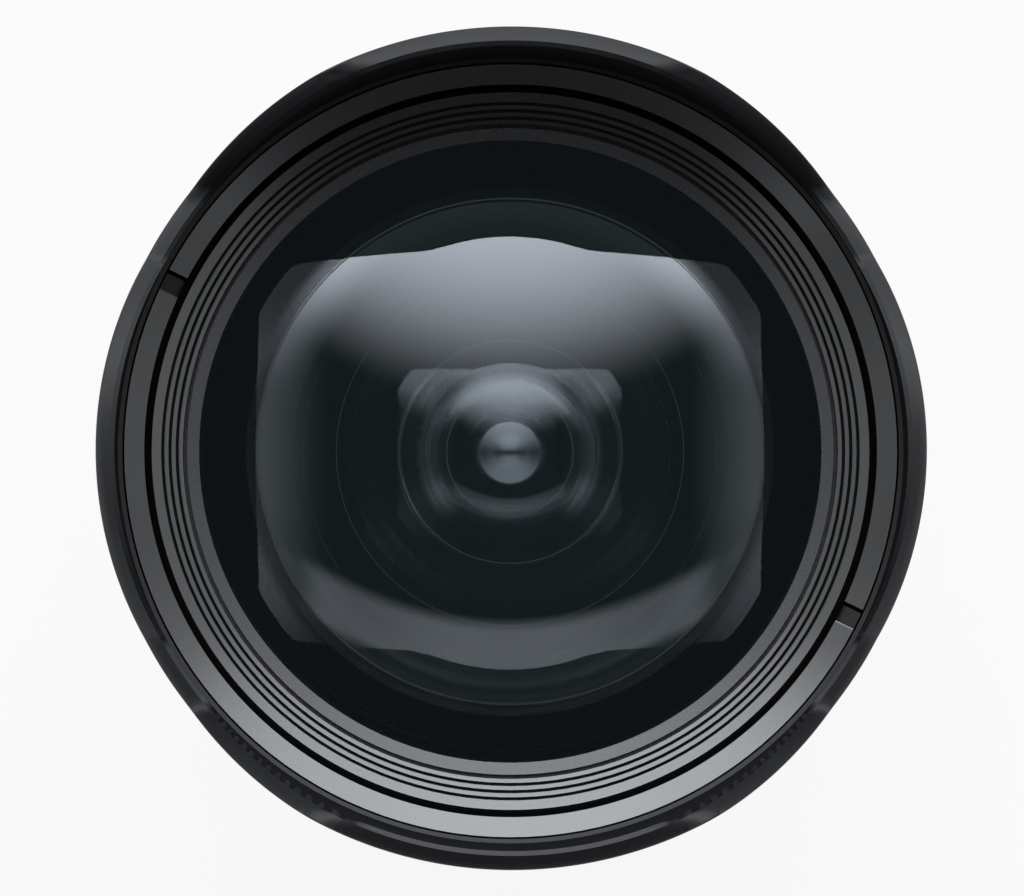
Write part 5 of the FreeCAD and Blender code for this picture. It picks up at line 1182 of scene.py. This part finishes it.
@dataclass
class Marks:
    """Painted marks: the zoom index line, the hood's two lines and the mounting dot.

    The dot lies on the rear flare, a cone that is flare_radius wide at flare_z and grows by
    flare_rise over flare_length.
    """

    angle: float = 90.0
    line_width: float = 0.5
    end: float = 0.01
    end_share: float = 0.02
    sunk: float = 0.2
    proud: float = 0.04
    dot_radius: float = 1.3
    dot_z: float = 6.0
    dot_height: float = 0.45
    flare_radius: float = 33.0
    flare_z: float = 2.0
    flare_rise: float = 7.5
    flare_length: float = 14.0

    def build(self) -> list[Object]:
        """Builds every mark.

        Returns:
            The marks.
        """
        return [
            self._line("zoom_index_line", 40.5, 30.6, 33.6, "barrel"),
            self._line("hood_index_line", 44.0, 102.0, 106.0, "barrel"),
            self._line("hood_rest_line", 45.82, 108.3, 111.3, "hood"),
            self._dot(),
        ]

    def _line(self, name: str, radius: float, low_z: float, high_z: float, body: str) -> Object:
        """A painted line along the barrel: a thin bar, narrowed to nothing at both ends.

        Args:
            name: name of the piece.
            radius: radius of the barrel there.
            low_z: lower end.
            high_z: upper end.
            body: CAD body it moves with.

        Returns:
            The line.
        """
        half = self.line_width / 2
        side = np.array([[-half, half, half, -half]])
        lift = np.array([[-self.sunk, -self.sunk, self.proud, self.proud]])
        z = np.array([[low_z], [low_z + self.end], [high_z - self.end], [high_z]])
        share = np.array([[self.end_share], [1.0], [1.0], [self.end_share]])
        turn = math.radians(self.angle) + side * share / radius
        bar = grid_piece(name, around(radius + lift, turn, z), (False, True), 0.0001)
        return dress(bar, [MARK_WHITE], body)

    def _dot(self) -> Object:
        """A raised bead on the rear flare: half an ellipsoid turned about the outward normal.

        Returns:
            The bead.
        """
        tilt = math.atan2(self.flare_rise, self.flare_length)
        base = self.flare_radius + (self.dot_z - self.flare_z) * self.flare_rise / self.flare_length
        lift = np.linspace(-0.3, 1, 9)[:, None] * math.pi / 2
        turn = full_turn(32)[None, :]
        across = self.dot_radius * np.cos(lift) * np.cos(turn)
        along = self.dot_radius * np.cos(lift) * np.sin(turn)
        out = self.dot_height * np.sin(lift) + 0 * turn
        y = base + out * math.cos(tilt) + along * math.sin(tilt)
        z = self.dot_z + along * math.cos(tilt) - out * math.sin(tilt)
        points = np.stack([across, y, z], axis=-1)
        bead = grid_piece("mount_index_dot", points, (False, True), FINE_MERGE_MM)
        return dress(bead, [MARK_WHITE], "barrel")


@dataclass
class MountScrews:
    """Countersunk screw heads in the bayonet, each with a cross recess."""

    circle: float = 27.6
    head: float = 1.58
    face_z: float = 0.1
    depth: float = 1.0
    dome: float = 0.06
    slot_half: float = 0.28
    slot_reach: float = 0.95
    slot_depth: float = 0.55
    side_width: float = 0.06
    end_width: float = 0.08
    count: int = 4
    first_angle: float = 45.0
    columns: int = 96
    rings: tuple[float, ...] = (0.0, 0.12, 0.24, 0.3, 0.36, 0.5, 0.65, 0.8, 0.9, 0.97, 1.05, 1.3, 1.5)

    def build(self) -> Object:
        """Builds each head as a disc of rings whose height dips into the cross.

        Returns:
            All heads as one piece.
        """
        radius = np.array([*self.rings, self.head, self.head])[:, None]
        turn = full_turn(self.columns)[None, :]
        x = radius * np.cos(turn)
        y = radius * np.sin(turn)
        wing = np.minimum(np.abs(x), np.abs(y))
        reach = np.maximum(np.abs(x), np.abs(y))
        inside = np.clip((self.slot_half - wing) / self.side_width, 0, 1)
        inside = inside * np.clip((self.slot_reach - reach) / self.end_width, 0, 1)
        z = self.face_z + self.slot_depth * inside + self.dome * (radius / self.head) ** 4
        z[-1] = self.face_z + self.depth
        place = np.radians(self.first_angle + np.arange(self.count) * 360 / self.count)[:, None, None]
        centres = around(self.circle, place, 0.0)
        heads = grid_piece("mount_screw_heads", np.stack([x, y, z], axis=-1) + centres, (False, True))
        return dress(heads, [SCREW_NICKEL], "barrel", ["mount_screws"])


@dataclass
class Studio:
    """White floor, soft studio light from all round and the camera of the photograph."""

    floor_z: float = -7.0
    floor_half: float = 4000.0
    floor_glow: float = 0.9
    lens_mm: float = 314.2
    sensor_mm: float = 36.0
    camera_at: tuple[float, float, float] = (-4.6, -9.4, 1123.0)
    aim_at: tuple[float, float, float] = (0.0, 0.0, 153.0)
    key: float = 5.9
    fill: float = 1.15
    glow: float = 0.5
    side: float = 1.6
    rim: float = 1.8
    ambient: float = 0.02
    nearest: float = 0.01
    bend: float = 0.75

    def build(self) -> None:
        """Makes the floor, the light and the camera."""
        self._floor()
        self._world()
        self._camera()

    def _camera(self) -> None:
        """Puts the camera over the front glass, with +Y up in the picture."""
        data = bpy.data.cameras.new("camera")
        data.lens = self.lens_mm
        data.sensor_width = self.sensor_mm
        camera = in_scene("camera", data)
        eye = Vector(self.camera_at) * MM
        back = (eye - Vector(self.aim_at) * MM).normalized()
        right = Vector((0, 1, 0)).cross(back).normalized()
        up = back.cross(right)
        camera.matrix_world = Matrix.Translation(eye) @ Matrix((right, up, back)).transposed().to_4x4()
        bpy.context.scene.camera = camera

    def _floor(self) -> None:
        """White floor that keeps a soft shadow, and lets a view from below through."""
        half = self.floor_half
        corners = [[-half, -half], [half, -half], [half, half], [-half, half]]
        points = np.concatenate([corners, np.full((4, 1), self.floor_z)], axis=1)
        floor = in_scene("floor", plain_mesh("floor", points, [[0, 1, 2, 3]]))
        material = bpy.data.materials.new("white_paper_floor")
        tree = blank_tree(material)
        path = add_node(tree, "LightPath").outputs
        rays = {0: path["Is Camera Ray"], 1: path["Is Transmission Ray"]}
        seen = add_node(tree, "Math", rays, operation="MAXIMUM")
        share = add_node(tree, "Math", {0: seen, 1: self.floor_glow}, operation="MULTIPLY")
        paper = add_node(tree, "BsdfDiffuse", {"Color": linear("#DCDCDC")})
        glow = add_node(tree, "Emission", {"Color": linear("#FFFFFF"), "Strength": 1.0})
        mixed = add_node(tree, "MixShader", {0: share, 1: paper, 2: glow})
        under = add_node(tree, "NewGeometry").outputs["Backfacing"]
        both = add_node(tree, "MixShader", {0: under, 1: mixed, 2: add_node(tree, "BsdfTransparent")})
        add_node(tree, "OutputMaterial", {"Surface": both})
        floor.data.materials.append(material)

    def _near_axis(self) -> tuple[Any, ...]:
        """What the domed glass mirrors: a soft key above, a low band, corners and a glow at the sides.

        Returns:
            Fades and products for the strength's sum.
        """
        low_band = (
            Fade("raised", -0.35, -0.39, 0.0, self.fill),
            Fade("raised", -0.46, -0.49, 1.0, 0.02),
            Fade("aside", 0.1, 0.35, 1.0, 0.65),
            Fade("aside", 0.39, 0.46, 1.0, 0.2),
        )
        corners = (Fade("y", 0.12, 0.44, 0.06, 2.6), Fade("off_axis", 0.45, 0.55), Fade("aside", 0.2, 0.4))
        sides = (Fade("aside", 0.38, 0.56, 0.0, self.glow), Fade("y", -0.35, -0.08, 0.15, 1.0))
        return Fade("raised", 0.09, 0.52, 0.0, self.key), low_band, corners, sides

    def _far_out(self) -> tuple[Any, ...]:
        """What the sloped rings and the hood's rim mirror: the same light, by its turn from up.

        Returns:
            Fades and products for the strength's sum.
        """
        less_at_top = Fade("y", 0.75, 0.88, 1.0, 0.1)
        all_round = (
            Fade("turn", -0.82, -0.4, 0.0, self.side),
            (Fade("off_axis", 0.62, 0.67, 1.0, 0.12), Fade("turn", 0.3, 0.6)),
            (Fade("turn", 0.25, 0.6, 1.0, 0.4), Fade("off_axis", 0.64, 0.7)),
            less_at_top,
        )
        crown = (Fade("turn", 0.72, 0.99, 0.0, self.rim), less_at_top)
        return all_round, crown, Fade("y", 0.87, 0.97, 0.0, self.rim)

    def _world(self) -> None:
        """Light tent: bright above the lens as held, a dim band below, and dark behind the camera.

        Every strength is a function of the direction, so one world lights all pieces alike. The
        measure raised is y less bend times x squared, so the bands curve like the dome's mirror.
        """
        world = bpy.data.worlds.new("light_tent")
        bpy.context.scene.world = world
        tree = blank_tree(world)
        about = measures(tree, add_node(tree, "TexCoord").outputs["Generated"], self.nearest)
        square = add_node(tree, "Math", {0: about["x"], 1: about["x"]}, operation="MULTIPLY")
        bent = {0: square, 1: -self.bend, 2: about["y"]}
        about["raised"] = add_node(tree, "Math", bent, operation="MULTIPLY_ADD")
        front = Fade("z", -0.3, 0.0, 0.4, 1.0)
        near = (strength(tree, about, self._near_axis()), Fade("off_axis", 0.545, 0.575, 1.0, 0.0), front)
        far = (strength(tree, about, self._far_out()), Fade("off_axis", 0.545, 0.575), front)
        around_low = (Fade("z", 0.4, 0.15), Fade("aside", 0.35, 0.85, 0.35, 1.5))
        total = strength(tree, about, (near, far, around_low, self.ambient))
        seen = add_node(tree, "LightPath").outputs["Is Camera Ray"]
        light = add_node(tree, "Background", {"Color": linear("#F6FAFF"), "Strength": total})
        white = add_node(tree, "Background", {"Color": linear("#FFFFFF"), "Strength": 1.0})
        both = add_node(tree, "MixShader", {0: seen, 1: light, 2: white})
        add_node(tree, "OutputWorld", {"Surface": both})


def main() -> None:
    """Loads the frame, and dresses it."""
    logging.basicConfig(level=logging.INFO, format="%(name)s: %(message)s", force=True)
    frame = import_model()
    bpy.context.scene.view_settings.view_transform = "Standard"
    nodes = CarriedNodes().build(frame)
    LOG.info("dressed %d CAD nodes", len(nodes))
    makers = [
        PetalHood(),
        FilterThread(),
        ThreadMouth(),
        SpannerSlots(),
        RibbedGrip("zoom_grip_rubber", "zoom_grip", "zoom", 41.2, 0.4, 0.8, 72, 40.4, 61.4, rings=3),
        RibbedGrip("focus_grip_rubber", "focus_grip", "focus_ring", 43.1, 0.3, 0.55, 96, 80.2, 98.6),
        *FRONT_GROUP_GLASS,
        ZoomScale(),
        MountScrews(),
    ]
    for piece in [maker.build() for maker in makers] + Marks().build():
        LOG.info("%s: %d faces", piece.name, len(piece.data.polygons))
    Studio().build()


if __name__ == "__main__":
    main()
